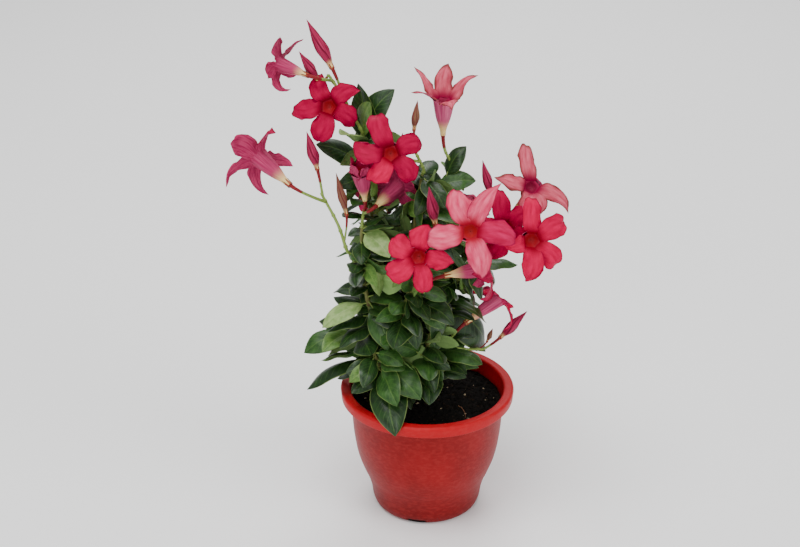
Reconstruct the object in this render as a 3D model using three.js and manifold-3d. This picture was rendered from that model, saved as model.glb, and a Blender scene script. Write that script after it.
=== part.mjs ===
// Potted mandevilla: a twining shrub in leaf and flower, in a round red nursery pot.
// Millimetres, +Z up. The origin is the centre of the pot's flat underside.
// The front of the plant faces -Y.
import * as THREE from 'three';
import { mergeVertices } from 'three/addons/utils/BufferGeometryUtils.js';
import Module from 'manifold-3d';

// Pot
const POT_HEIGHT = 130;
const RIM_RADIUS = 85;
const LIP_WIDTH = 10;
const LIP_DROP = 11;
const LIP_THICKNESS = 2.5;
const WALL = 2;
const FLOOR = 6;
const POT_SEGMENTS = 32;
const NOTCH = { count: 4, first: -12, wide: 18, deep: 7, high: 4 };
// Outside of the pot below the lip: height, radius
const POT_PROFILE = [
  [0, 48], [3, 51.5], [9, 53.8], [20, 55.6], [31, 58.7], [42, 63.2], [58, 68.6], [80, 72.4], [106, 74.5],
];

// Soil
const SOIL_TOP = 118;
const SOIL_EDGE_DROP = 3;
const GAP = 0.3;

// Foot of the plant
const FOOT_BASE = [-22, 2];
const FOOT_TOP = [-25, -2, 156];
const FOOT_RADII = [[0, 10], [0.16, 7.6], [0.5, 6.4], [1, 5.6]];

// Knee of a limb that leaves the foot: shares of its way out and of its rise
const LIMB_KNEE = { out: 0.62, up: 0.3 };

// Main boughs: share of the foot's height where each leaves, and its tip
const BOUGH_RADII = [2.6, 2.1];
const BOUGHS = {
  bough_left: { from: 0.66, tip: [-56, -18, 226] },
  bough_top_left: { from: 0.7, tip: [-50, 20, 268] },
  bough_centre: { from: 0.97, tip: [-18, -2, 240] },
  bough_right: { from: 0.66, tip: [12, -12, 224] },
  bough_front: { from: 0.64, tip: [-22, -40, 226] },
  bough_back: { from: 0.68, tip: [-26, 46, 240] },
  bough_back_right: { from: 0.8, tip: [20, 32, 236] },
};

// Leaf masses. Each has a leader from a bough's tip, or from a share of the foot's height, to its own tip.
// space: centre and half sizes of the room that the mass keeps to.
// twigs, pairs: side twigs and leaf pairs on the leader; turn: azimuth of the first; leaf: mean leaf length.
// shoots: share of the leader and tip of each flowering shoot.
// outer: stem (0 the leader), share, tip and lean to the front of each leaf that sets the outline.
const LEADER_RADII = [2.1, 1.5];
const TWIG_RADII = [1.1, 0.9];
const TWIG_LENGTHS = [10, 32];
// A twig takes this share of the way to the edge of its mass's room
const TWIG_SHARE = 0.36;
const MASSES = {
  leaves_top_left: {
    bough: 'bough_top_left', tip: [-62, 10, 388], space: [[-50, 6, 345], [38, 46, 90]],
    twigs: 2, pairs: 7, turn: 70, leaf: 46, shoots: [],
    outer: [
      [0, 0.97, [-33, 15, 427], 55], [0, 0.88, [-54, 32, 428], 60],
      [0, 0.84, [-84, -14, 368], -60], [0, 0.7, [-104, 12, 378], 25],
    ],
  },
  leaves_left: {
    bough: 'bough_left', tip: [-62, -16, 306], space: [[-46, -22, 262], [36, 56, 64]],
    twigs: 2, pairs: 6, turn: 40, leaf: 48, shoots: [[0.2, [-74, -25, 284]]],
    outer: [
      [0, 0.97, [-46, -52, 255], -50], [0, 0.94, [-36, -46, 290], -40], [0, 0.16, [-92, 0, 234], 20],
      [0, 0.04, [-101, -34, 211], 35], [0, 0.08, [-36, -52, 194], 40],
    ],
  },
  leaves_centre: {
    bough: 'bough_centre', tip: [-6, -8, 356], space: [[4, 0, 305], [46, 50, 74]],
    twigs: 3, pairs: 7, turn: 50, leaf: 48, shoots: [[0.5, [21, 10, 348]]],
    outer: [[1, 0.7, [44, 2, 345], 40], [1, 0.6, [2, -24, 362], 60]],
  },
  leaves_right: {
    bough: 'bough_right', tip: [52, -14, 272], space: [[26, -8, 220], [46, 54, 54]],
    twigs: 3, pairs: 5, turn: 80, leaf: 46, shoots: [],
    outer: [[0, 0.45, [62, -22, 246], 45], [0, 0.05, [38, -24, 189], 45]],
  },
  leaves_front: {
    bough: 'bough_front', tip: [-8, -48, 284], space: [[-16, -46, 236], [46, 50, 62]],
    twigs: 2, pairs: 5, turn: 0, leaf: 48, shoots: [[0.3, [-8, -60, 262]]],
    outer: [[0, 0.05, [-50, -70, 204], 20], [0, 0.3, [24, -72, 236], 20], [0, 0.12, [0, -80, 202], 10]],
  },
  leaves_back: {
    bough: 'bough_back', tip: [-34, 52, 322], space: [[-30, 58, 256], [50, 54, 84]],
    twigs: 3, pairs: 7, turn: 20, leaf: 50, shoots: [],
    outer: [],
  },
  leaves_back_right: {
    bough: 'bough_back_right', tip: [26, 44, 300], space: [[14, 52, 250], [46, 54, 80]],
    twigs: 3, pairs: 6, turn: 60, leaf: 48, shoots: [],
    outer: [],
  },
  leaves_low_left: {
    foot: 0.3, tip: [-74, -4, 198], space: [[-68, -16, 176], [58, 52, 54]],
    twigs: 1, pairs: 5, turn: 0, leaf: 50, shoots: [],
    outer: [
      [0, 0.5, [-119, -20, 137], 20], [0, 0.85, [-120, -22, 178], 20], [0, 0.75, [-95, -50, 186], 30],
    ],
  },
  leaves_low_front: {
    foot: 0.3, tip: [-52, -44, 190], space: [[-30, -58, 166], [52, 52, 50]],
    twigs: 2, pairs: 5, turn: 20, leaf: 52, shoots: [],
    outer: [[0, 0.85, [-9, -76, 156], 30], [0, 0.6, [-34, -92, 127], 0], [0, 0.97, [-25, -64, 188], 30]],
  },
  leaves_low_centre: {
    foot: 0.36, tip: [2, -34, 204], space: [[-10, -44, 190], [46, 48, 54]],
    twigs: 2, pairs: 5, turn: 30, leaf: 48, shoots: [],
    outer: [],
  },
  leaves_low_right: {
    foot: 0.28, tip: [12, -16, 178], space: [[14, -20, 178], [46, 48, 34]],
    twigs: 1, pairs: 5, turn: 0, leaf: 46, shoots: [],
    outer: [[0, 0.72, [39, -30, 160], 30], [0, 0.6, [0, -60, 146], 10], [0, 0.8, [28, 20, 176], 0]],
  },
  leaves_low_back: {
    foot: 0.3, tip: [-38, 50, 188], space: [[-26, 56, 176], [62, 56, 50]],
    twigs: 3, pairs: 5, turn: 40, leaf: 50, shoots: [],
    outer: [],
  },
};

// Leaf
const LEAF_WIDTH = 0.5;
const LEAF_THICKNESS = 1.2;
const LEAF_SPREAD = 62;
const LEAF_DROOP = 0.55;
const LEAF_ARCH = 0.14;
// Shares of the length before and after a leaf's bend
const LEAF_BEND = [0.45, 0.58];
const LEAF_TURNS = [0, 25, -25, 50, -50, 75, -75];
// Tries: share of the spread, share of the length
const LEAF_SPREADS = [[1, 1], [0.62, 1], [1.35, 0.9], [0.8, 0.72]];
const LEAF_STALK = [0.13, 0.5];
// Blade: share of the length, share of the half width, and lift of the edges as a share of the half width
const LEAF_STATIONS = [[0.4, 1, 0.12], [0.75, 0.66, 0.1], [1, 0, 0]];

// Blossom. A bloom is a funnel on a narrow tube with five broad petals; size 1 is 60 across.
const TUBE_LENGTH = 36;
const TUBE_ROWS = [[-36, 0], [-36, 1.6], [-17, 4.6], [-1.6, 10.2], [0, 10.5], [1.4, 8.6], [-15, 0]];
const EDGE_ROW = 4;
const PETALS = 5;
const PETAL_REACH = 30;
// Corners of one petal's edge from the notch before it: reach and sideways shift, as shares of PETAL_REACH
const PETAL_CORNERS = [[0.34, -0.245], [0.72, -0.36], [1, 0.06], [0.82, 0.37]];
const PETAL_CURL = 3;
const STALK_RADII = [1.3, 1.1];
const BLOOM_STALK_KNEE = 12;
const BUD_STALK_KNEE = 8;
const BUD_PROFILE = [[0, 0], [0.02, 0.35], [0.3, 0.62], [0.62, 1], [0.86, 0.5], [1, 0]];

// Trusses. Each has a stalk from the tip of a mass's leader (0) or flowering shoot (1) through given points.
// blooms: share of the stalk, mouth, azimuth, lift, size, opening and roll; buds: share, base, tip and radius.
const TRUSSES = {
  blossom_top_left: {
    on: ['leaves_top_left', 0], stalk: [[-82, 6, 428], [-92, 6, 444]],
    blooms: [[0.9, [-143, 20, 452], -102, 14, 1, 1, 0], [0.75, [-94, -6, 421], -12, 25, 1.02, 1, 20]],
    buds: [[1, [-88, 5, 454], [-110, 10, 497], 5], [1, [-104, 0, 448], [-117, 0, 469], 3.6]],
  },
  blossom_left: {
    on: ['leaves_left', 1], stalk: [[-84, -23, 312], [-99, -20, 342]],
    blooms: [[0.85, [-157, -15, 374], -104, 35, 1.3, 0.9, 30]],
    buds: [[0.95, [-102, -18, 365], [-111, -15, 400], 4.6], [0.6, [-80, -22, 334], [-85, -20, 362], 3.2]],
  },
  blossom_centre_left: {
    on: ['leaves_left', 0], stalk: [[-60, -12, 322]],
    blooms: [[0.8, [-64, -24, 372], -20, 75, 0.8, 0.45, 0], [0.8, [-25, 5, 345], 110, 30, 0.9, 0.9, 0]],
    buds: [],
  },
  blossom_centre: {
    on: ['leaves_centre', 0], stalk: [[-12, -8, 376]],
    blooms: [[0.6, [-35, -45, 390], 0, 25, 0.98, 1, 20]],
    buds: [[1, [-14, -12, 401], [-11, -10, 427], 3.2]],
  },
  blossom_top_right: {
    on: ['leaves_centre', 1], stalk: [[16, 13, 368]],
    blooms: [[1, [13, 15, 424], 0, 86, 1.1, 0.6, 0]],
    buds: [],
  },
  blossom_right: {
    on: ['leaves_right', 0], stalk: [[62, -12, 300], [74, -6, 312]],
    blooms: [
      [0.3, [35, -85, 332], -5, 25, 1.16, 1, 16], [0.8, [74, -50, 331], 20, 30, 0.95, 1, 10],
      [0.6, [93, -66, 313], 12, 20, 1.1, 1, 0], [1, [101, 8, 334], 15, 42, 0.95, 0.8, 0],
    ],
    buds: [[0.7, [55, -22, 347], [48, -22, 375], 4]],
  },
  blossom_front: {
    on: ['leaves_front', 0], stalk: [[-4, -48, 300]],
    blooms: [[0.6, [-12, -86, 308], -10, 20, 1.05, 1, 0]],
    buds: [[1, [6, -55, 331], [-1, -55, 363], 4.6]],
  },
  blossom_front_right: {
    on: ['leaves_front', 1], stalk: [[-2, -60, 270]],
    blooms: [[1, [48, -60, 291], 84, 17, 0.95, 0.9, 0]],
    buds: [],
  },
  blossom_low_right: {
    on: ['leaves_low_right', 0], stalk: [[34, -9, 174], [54, -4, 171]],
    blooms: [[0.2, [67, -5, 226], 78, 45, 0.85, 1, 0]],
    buds: [[1, [75, 5, 185], [95, 5, 208], 4], [0.85, [58, 0, 178], [63, 0, 192], 2.2]],
  },
  blossom_back: {
    on: ['leaves_back', 0], stalk: [[-36, 56, 330]],
    blooms: [[0.8, [-46, 96, 300], 195, 22, 1, 1, 0]],
    buds: [[1, [-30, 64, 340], [-24, 72, 366], 4.2]],
  },
  blossom_back_right: {
    on: ['leaves_back_right', 0], stalk: [[28, 50, 306]],
    blooms: [[0.8, [34, 92, 276], 165, 20, 1, 1, 20]],
    buds: [],
  },
};

const COLOURS = {
  pot: { color: 0xb5292c, roughness: 0.5, metalness: 0 },
  soil: { color: 0x1d1714, roughness: 1, metalness: 0 },
  bark: { color: 0x4c3b2a, roughness: 0.85, metalness: 0 },
  leaf: { color: 0x2c5228, roughness: 0.45, metalness: 0 },
  blossom: { color: 0xcf2f4d, roughness: 0.55, metalness: 0 },
};

const wasm = await Module();
wasm.setup();

const vec = (x, y, z) => new THREE.Vector3(x, y, z);
const rad = THREE.MathUtils.degToRad;
const UP = vec(0, 0, 1);
const GOLDEN_ANGLE = 137.5;

// Direction of an azimuth, 0 to the front and 90 to the right, and a lift above level
function facing(azimuth, lift) {
  const level = Math.cos(rad(lift));
  return vec(Math.sin(rad(azimuth)) * level, -Math.cos(rad(azimuth)) * level, Math.sin(rad(lift)));
}

// Seeded rule: the same three keys always give the same number from 0 to 1
function chance(a, b, c) {
  const wave = Math.sin(a * 12.9898 + b * 78.233 + c * 37.719) * 43758.5453;
  return wave - Math.floor(wave);
}
const between = (low, high, a, b, c) => low + (high - low) * chance(a, b, c);

// Closed three.js geometry to a solid for joining and cutting
function solidOf(geometry) {
  const bare = geometry.index ? geometry.toNonIndexed() : geometry.clone();
  bare.deleteAttribute('normal');
  bare.deleteAttribute('uv');
  const merged = mergeVertices(bare, 1e-5);
  const vertProperties = new Float32Array(merged.attributes.position.array);
  const corners = merged.index.array;
  const kept = [];
  for (let i = 0; i < corners.length; i += 3) {
    const [a, b, c] = [corners[i], corners[i + 1], corners[i + 2]];
    if (a !== b && b !== c && c !== a) kept.push(a, b, c);
  }
  return new wasm.Manifold(new wasm.Mesh({ numProp: 3, vertProperties, triVerts: new Uint32Array(kept) }));
}

// The largest body of a solid, so that sealed hollows are filled and loose scraps are dropped
function largestBody(solid) {
  const bodies = solid.decompose();
  return bodies.reduce((best, body) => (body.volume() > best.volume() ? body : best));
}

// Solid along a path. Each station is [share of the path, half width, half thickness, lift of the edges].
// Three sides make a flat blade: two edges and a keel under the middle.
function sweep(path, stations, sides, up) {
  const last = stations.length - 1;
  const pointed = stations[last][1] === 0;
  const geometry = new THREE.CylinderGeometry(pointed ? 0 : 1, 1, 1, sides, last, false, Math.PI);
  const frames = path.computeFrenetFrames(20);
  const position = geometry.attributes.position;
  for (let i = 0; i < position.count; i += 1) {
    const row = Math.round((position.getY(i) + 0.5) * last);
    const [share, wide, thick, lift] = stations[row];
    const along = path.getTangentAt(share);
    const side = up ? along.clone().cross(up).normalize() : frames.binormals[Math.round(share * 20)];
    const top = side.clone().cross(along);
    const reach = Math.hypot(position.getX(i), position.getZ(i)) || 1;
    let across = position.getX(i) / reach;
    let over = position.getZ(i) / reach;
    if (sides === 3) {
      across = Math.sign(Math.round(across * 2));
      over = Math.min(over, 0);
    }
    const point = path.getPointAt(share);
    point.addScaledVector(side, across * wide);
    point.addScaledVector(top, over * thick + Math.abs(across) * lift);
    position.setXYZ(i, point.x, point.y, point.z);
  }
  return solidOf(geometry);
}

// Round tapering limb
function limb(path, radii, sides, steps) {
  const stations = [];
  for (let i = 0; i <= steps; i += 1) {
    const share = i / steps;
    const radius = THREE.MathUtils.lerp(radii[0], radii[1], share);
    stations.push([share, radius, radius, 0]);
  }
  return sweep(path, stations, sides, null);
}

// Path that leaves a start along a heading and bends to an end
function bend(start, heading, end) {
  const knee = start.clone().addScaledVector(heading, start.distanceTo(end) * 0.5);
  return new THREE.QuadraticBezierCurve3(start, knee, end);
}

function nodeMesh(name, solid, look) {
  const { vertProperties, triVerts, numProp } = solid.getMesh();
  const geometry = new THREE.BufferGeometry();
  const points = [];
  for (let i = 0; i < vertProperties.length; i += numProp) {
    points.push(vertProperties[i], vertProperties[i + 1], vertProperties[i + 2]);
  }
  geometry.setAttribute('position', new THREE.Float32BufferAttribute(points, 3));
  geometry.setIndex(Array.from(triVerts));
  geometry.computeVertexNormals();
  const mesh = new THREE.Mesh(geometry, new THREE.MeshStandardMaterial(COLOURS[look]));
  mesh.name = name;
  return mesh;
}

const plant = new THREE.Group();
plant.name = 'potted_mandevilla';

// Solid of revolution about the vertical axis from [height, radius] rows
function turned(rows, segments) {
  const outline = rows.map(([height, radius]) => new THREE.Vector2(radius, height));
  const geometry = new THREE.LatheGeometry(outline, segments);
  geometry.rotateX(Math.PI / 2);
  return solidOf(geometry);
}

// Pot: one wall of even thickness with a thick floor, a lip that turns out and down, and notches at the foot
const innerRows = POT_PROFILE.filter(([height], i) => height > FLOOR && i % 2 === 0);
const inner = innerRows.map(([height, radius]) => [height, radius - WALL]);
const mouthRadius = RIM_RADIUS - LIP_WIDTH;
const shoulder = POT_PROFILE[POT_PROFILE.length - 1];
let pot = turned([
  [0, 0],
  ...POT_PROFILE,
  [POT_HEIGHT - LIP_THICKNESS, mouthRadius + 0.5],
  [POT_HEIGHT - LIP_THICKNESS, RIM_RADIUS - LIP_THICKNESS],
  [POT_HEIGHT - LIP_DROP, RIM_RADIUS - LIP_THICKNESS - 0.6],
  [POT_HEIGHT - LIP_DROP, RIM_RADIUS - 0.8],
  [POT_HEIGHT - 1.2, RIM_RADIUS],
  [POT_HEIGHT, RIM_RADIUS - 1.2],
  [POT_HEIGHT, mouthRadius + 1],
  [POT_HEIGHT - 2, mouthRadius - 0.6],
  [shoulder[0], shoulder[1] - WALL],
  ...inner.slice(0, -1).reverse(),
  [FLOOR, inner[0][1] - 1],
  [FLOOR, 0],
], POT_SEGMENTS);
for (let i = 0; i < NOTCH.count; i += 1) {
  const slot = new THREE.BoxGeometry(NOTCH.wide, NOTCH.deep * 2, NOTCH.high * 2);
  slot.translate(0, -(POT_PROFILE[0][1] + 1), 0);
  slot.rotateZ(rad(NOTCH.first + (i * 360) / NOTCH.count));
  pot = pot.subtract(solidOf(slot));
}
plant.add(nodeMesh('pot', pot, 'pot'));

// Soil fills the pot to a little below the rim, clear of the wall
const wallAt = (height) => {
  const rows = [...inner, [POT_HEIGHT - 2, mouthRadius - 0.6]];
  const next = rows.findIndex(([level]) => level >= height);
  const [low, high] = [rows[next - 1], rows[next]];
  return THREE.MathUtils.mapLinear(height, low[0], high[0], low[1], high[1]);
};
const soilEdge = SOIL_TOP - SOIL_EDGE_DROP;
const soil = turned([
  [FLOOR + GAP, 0],
  [FLOOR + GAP, inner[0][1] - 1 - GAP * 3],
  ...inner.slice(0, -1).map(([height, radius]) => [height + GAP, radius - GAP * 1.5]),
  [soilEdge, wallAt(soilEdge) - GAP * 1.5],
  [SOIL_TOP, 52],
  [SOIL_TOP, 0],
], POT_SEGMENTS);
plant.add(nodeMesh('soil', soil, 'soil'));

// Foot: a short woody stem with a root flare, cut flat at the soil
function footShape(grow) {
  const path = new THREE.QuadraticBezierCurve3(
    vec(FOOT_BASE[0], FOOT_BASE[1], SOIL_TOP + GAP),
    vec(FOOT_BASE[0], FOOT_BASE[1], SOIL_TOP + 16),
    vec(FOOT_TOP[0], FOOT_TOP[1], FOOT_TOP[2] + grow),
  );
  const stations = FOOT_RADII.map(([share, radius]) => [share, radius + grow, radius + grow, 0]);
  return { path, solid: sweep(path, stations, 10, vec(0, 1, 0)) };
}
const { path: footPath, solid: foot } = footShape(0);
const footRoom = footShape(GAP * 1.3).solid;
plant.add(nodeMesh('foot', foot, 'bark'));

// Everything grown so far, kept with its node so that new growth stays clear of it
const grown = [];
function touches(solid, node) {
  const box = solid.boundingBox();
  return grown.some((other) => {
    if (other.node === node) return false;
    const apart = (k) => box.min[k] > other.box.max[k] + 1 || box.max[k] < other.box.min[k] - 1;
    return !apart(0) && !apart(1) && !apart(2) && solid.minGap(other.solid, 1) < GAP;
  });
}
function keep(solid, node) {
  grown.push({ solid, node, box: solid.boundingBox() });
}
keep(pot, 'pot');
keep(soil, 'soil');
keep(foot, 'foot');

// A limb that leaves the foot sets out level and turns up to its tip
function fromFoot(share, tip) {
  const start = footPath.getPointAt(share);
  const knee = start.clone().lerp(tip, LIMB_KNEE.out);
  knee.z = THREE.MathUtils.lerp(start.z, tip.z, LIMB_KNEE.up);
  return new THREE.QuadraticBezierCurve3(start, knee, tip);
}

const paths = {};
for (const [name, { from, tip }] of Object.entries(BOUGHS)) {
  const path = fromFoot(from, vec(...tip));
  const bough = largestBody(limb(path, BOUGH_RADII, 6, 5).subtract(footRoom));
  paths[name] = path;
  keep(bough, name);
  plant.add(nodeMesh(name, bough, 'bark'));
}

// Leaders and flowering shoots of every mass come first, then the trusses, the outer leaves and the twigs
const masses = {};
Object.entries(MASSES).forEach(([name, mass], seed) => {
  const tip = vec(...mass.tip);
  let leader;
  let stem;
  if (mass.bough) {
    const below = paths[mass.bough];
    const heading = below.getTangentAt(1);
    const start = below.getPointAt(1).addScaledVector(heading, GAP);
    leader = bend(start, heading, tip);
    stem = limb(leader, LEADER_RADII, 4, 4);
  } else {
    leader = fromFoot(mass.foot, tip);
    stem = largestBody(limb(leader, LEADER_RADII, 4, 4).subtract(footRoom));
  }
  const pieces = [stem];
  const axes = [leader];
  for (const [share, end] of mass.shoots) {
    const path = bend(leader.getPointAt(share), leader.getTangentAt(share), vec(...end));
    axes.push(path);
    pieces.push(limb(path, TWIG_RADII, 4, 3));
  }
  pieces.forEach((piece) => keep(piece, name));
  masses[name] = { ...mass, seed, axes, pieces };
});

// Turns a piece made along +Z, mouth or base at the origin, to its place
function placed(geometry, at, direction, roll) {
  geometry.rotateZ(rad(roll));
  geometry.applyQuaternion(new THREE.Quaternion().setFromUnitVectors(UP, direction));
  geometry.translate(at.x, at.y, at.z);
  return geometry;
}

// Bloom: a turned funnel whose edge is drawn out to five petals that lean like a pinwheel.
// Opening 1 lays the petals flat and 0.5 leaves them half up.
function bloom(mouth, azimuth, lift, size, opening, roll) {
  const corners = PETAL_CORNERS.length;
  const outline = TUBE_ROWS.map(([height, radius]) => new THREE.Vector2(radius, height));
  const funnel = new THREE.LatheGeometry(outline, PETALS * corners);
  funnel.rotateX(Math.PI / 2);
  const position = funnel.attributes.position;
  const slope = rad(90 * (1 - opening));
  for (let i = 0; i < position.count; i += 1) {
    const row = i % TUBE_ROWS.length;
    const spoke = Math.floor(i / TUBE_ROWS.length) % (PETALS * corners);
    const petal = Math.floor(spoke / corners);
    const [height, radius] = TUBE_ROWS[row];
    const step = row === EDGE_ROW || row === EDGE_ROW - 1 ? spoke : spoke - (spoke % 2);
    const angle = ((step - 1.5) / (PETALS * corners)) * 2 * Math.PI;
    if (row !== EDGE_ROW) {
      position.setXYZ(i, radius * Math.cos(angle), radius * Math.sin(angle), height);
    } else {
      const [reach, aside] = PETAL_CORNERS[spoke % corners];
      const middle = (petal / PETALS) * 2 * Math.PI;
      const long = PETAL_REACH * size * between(0.93, 1.07, petal, roll + 1, size * 10);
      const outward = 10 + (long * reach - 10) * Math.cos(slope);
      const rise = (long * reach - 10) * Math.sin(slope) - PETAL_CURL * opening * reach * reach;
      const x = outward * Math.cos(middle) - long * aside * Math.sin(middle);
      const y = outward * Math.sin(middle) + long * aside * Math.cos(middle);
      position.setXYZ(i, x, y, rise + 1);
    }
  }
  return solidOf(placed(funnel, mouth, facing(azimuth, lift), roll));
}

function bud(base, tip, radius) {
  const length = base.distanceTo(tip);
  const outline = BUD_PROFILE.map(([share, wide]) => new THREE.Vector2(radius * wide, length * share));
  const spindle = new THREE.LatheGeometry(outline, 6);
  spindle.rotateX(Math.PI / 2);
  return solidOf(placed(spindle, base, tip.clone().sub(base).normalize(), 0));
}

for (const [name, truss] of Object.entries(TRUSSES)) {
  const [massName, stem] = truss.on;
  const below = masses[massName].axes[stem];
  const heading = below.getTangentAt(1);
  const start = below.getPointAt(1).addScaledVector(heading, GAP);
  const points = truss.stalk.map((point) => vec(...point));
  const first = start.clone().addScaledVector(heading, 5);
  const stalk = new THREE.CatmullRomCurve3([start, first, ...points]);
  const parts = [limb(stalk, STALK_RADII, 4, 2 * points.length)];
  for (const [share, at, azimuth, lift, size, opening, roll] of truss.blooms) {
    const mouth = vec(...at);
    const direction = facing(azimuth, lift);
    const foot = mouth.clone().addScaledVector(direction, 2 - TUBE_LENGTH);
    const knee = foot.clone().addScaledVector(direction, -BLOOM_STALK_KNEE);
    const path = new THREE.QuadraticBezierCurve3(stalk.getPointAt(share), knee, foot);
    parts.push(limb(path, STALK_RADII, 4, 2));
    parts.push(bloom(mouth, azimuth, lift, size, opening, roll));
  }
  for (const [share, from, to, radius] of truss.buds) {
    const base = vec(...from);
    const tip = vec(...to);
    const direction = tip.clone().sub(base).normalize();
    const foot = base.clone().addScaledVector(direction, 2);
    const knee = base.clone().addScaledVector(direction, -BUD_STALK_KNEE);
    const path = new THREE.QuadraticBezierCurve3(stalk.getPointAt(share), knee, foot);
    parts.push(limb(path, STALK_RADII, 4, 2));
    parts.push(bud(base, tip, radius));
  }
  const solid = largestBody(wasm.Manifold.union(parts));
  keep(solid, name);
  plant.add(nodeMesh(name, solid, 'blossom'));
}

// One leaf along a bent midrib: a thin stalk and a blade with its edges a little raised.
// The bare blade has no stalk.
function leafSolid(path, length, up, bare) {
  const half = (length * LEAF_WIDTH) / 2;
  const [stalk, thin] = LEAF_STALK;
  const stations = LEAF_STATIONS.map(([share, wide, raise]) => {
    return [share, half * wide, wide > 0 ? LEAF_THICKNESS : 0, half * raise];
  });
  stations.unshift([stalk, thin, thin, 0]);
  if (!bare) stations.unshift([0, thin, thin, 0]);
  return sweep(path, stations, 3, up);
}

// A leaf is kept if its blade touches nothing and its tip is in the room. Before it is given up, it is turned
// round its stem, drawn closer to it or away, and made smaller.
function addLeaf(name, mass, makePath, room) {
  for (const [spread, size] of LEAF_SPREADS) {
    for (const turn of LEAF_TURNS) {
      const { path, length, up } = makePath(turn, spread, size);
      if (room && !inRoom(room, path.v2)) continue;
      const blade = leafSolid(path, length, up, true);
      const leaf = leafSolid(path, length, up, false);
      if (!touches(blade, null) && !touches(leaf, name)) {
        keep(leaf, name);
        mass.pieces.push(leaf);
        return;
      }
    }
  }
}

// Leaf that sets the outline: from a share of its stem to a given tip, arched, its face leant to the front
function outerLeaf(axis, share, tip, lean) {
  const start = axis.getPointAt(share);
  return (turn, spread, size) => {
    const chord = vec(...tip).sub(start).multiplyScalar(size);
    const end = start.clone().add(chord);
    const length = chord.length();
    const side = chord.clone().cross(UP).normalize();
    const up = side.clone().cross(chord).normalize();
    const knee = start.clone().addScaledVector(chord, 0.5).addScaledVector(up, length * LEAF_ARCH);
    const front = side.y > 0 ? -1 : 1;
    up.applyAxisAngle(chord.normalize(), front * rad(lean + turn * 0.5));
    return { path: new THREE.QuadraticBezierCurve3(start, knee, end), length, up };
  };
}

// Leaf of a pair: spreads from its stem and droops towards the tip
function pairLeaf(axis, share, azimuth, full) {
  const start = axis.getPointAt(share);
  const along = axis.getTangentAt(share);
  return (turn, spread, size) => {
    const length = full * size;
    const level = facing(azimuth + turn, 0);
    const out = level.addScaledVector(along, -level.dot(along)).normalize();
    const heading = along.clone().multiplyScalar(Math.cos(rad(LEAF_SPREAD * spread)));
    heading.addScaledVector(out, Math.sin(rad(LEAF_SPREAD * spread)));
    const drooped = heading.clone().addScaledVector(UP, -LEAF_DROOP).normalize();
    const knee = start.clone().addScaledVector(heading, length * LEAF_BEND[0]);
    const end = knee.clone().addScaledVector(drooped, length * LEAF_BEND[1]);
    const up = along.clone().addScaledVector(heading, -along.dot(heading)).normalize();
    return { path: new THREE.QuadraticBezierCurve3(start, knee, end), length, up };
  };
}

// How far along a direction the room of a mass reaches
function roomAhead([centre, half], start, direction) {
  const p = start.clone().sub(vec(...centre)).divide(vec(...half));
  const d = direction.clone().divide(vec(...half));
  const [a, b, c] = [d.dot(d), p.dot(d), p.dot(p) - 1];
  const root = b * b - a * c;
  return root > 0 ? (Math.sqrt(root) - b) / a : 0;
}
function inRoom([centre, half], point) {
  return point.clone().sub(vec(...centre)).divide(vec(...half)).length() < 1;
}

for (const [name, mass] of Object.entries(masses)) {
  for (const [stem, share, tip, lean] of mass.outer) {
    addLeaf(name, mass, outerLeaf(mass.axes[stem], share, tip, lean), null);
  }
}
for (const [name, mass] of Object.entries(masses)) {
  const leader = mass.axes[0];
  for (let i = 0; i < mass.twigs; i += 1) {
    const start = leader.getPointAt(THREE.MathUtils.lerp(0.2, 0.9, (i + 0.5) / mass.twigs));
    const outward = facing(mass.turn + 45 + i * GOLDEN_ANGLE, between(5, 45, mass.seed, i, 3));
    const length = Math.min(TWIG_LENGTHS[1], TWIG_SHARE * roomAhead(mass.space, start, outward));
    const heading = outward.clone().setZ(outward.z * 0.5).normalize();
    const path = bend(start, heading, start.clone().addScaledVector(outward, length));
    const twig = limb(path, TWIG_RADII, 4, 2);
    if (length > TWIG_LENGTHS[0] && !touches(twig, name)) {
      keep(twig, name);
      mass.pieces.push(twig);
      mass.axes.push(path);
    }
  }
}
for (const [name, mass] of Object.entries(masses)) {
  mass.axes.forEach((axis, a) => {
    const pairs = a === 0 ? mass.pairs : 2;
    for (let p = 0; p < pairs; p += 1) {
      const share = THREE.MathUtils.lerp(a === 0 ? 0.12 : 0.5, 0.94, p / (pairs - 1));
      for (let s = 0; s < 2; s += 1) {
        const key = p * 2 + s;
        const azimuth = mass.turn + a * 40 + p * 90 + s * 180 + between(-20, 20, mass.seed, a, key);
        const length = mass.leaf * between(0.82, 1.14, mass.seed, key, a + 5);
        addLeaf(name, mass, pairLeaf(axis, share, azimuth, length), mass.space);
      }
    }
  });
  plant.add(nodeMesh(name, largestBody(wasm.Manifold.union(mass.pieces)), 'leaf'));
}

export default plant;
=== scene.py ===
# %% [markdown]
# # A potted mandevilla
# The packed model is a plant made of plain solids: a pot, its soil, a short foot, boughs, leaf masses and
# trusses of flowers. This lesson dresses it. Each solid is replaced by a finer mesh that grows by the same
# rule and from the same sizes, so the plant keeps its reach and its outline.

# %% Load the packed model
import math
from dataclasses import dataclass
from itertools import product

import bpy
import numpy as np
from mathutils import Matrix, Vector, noise


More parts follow.
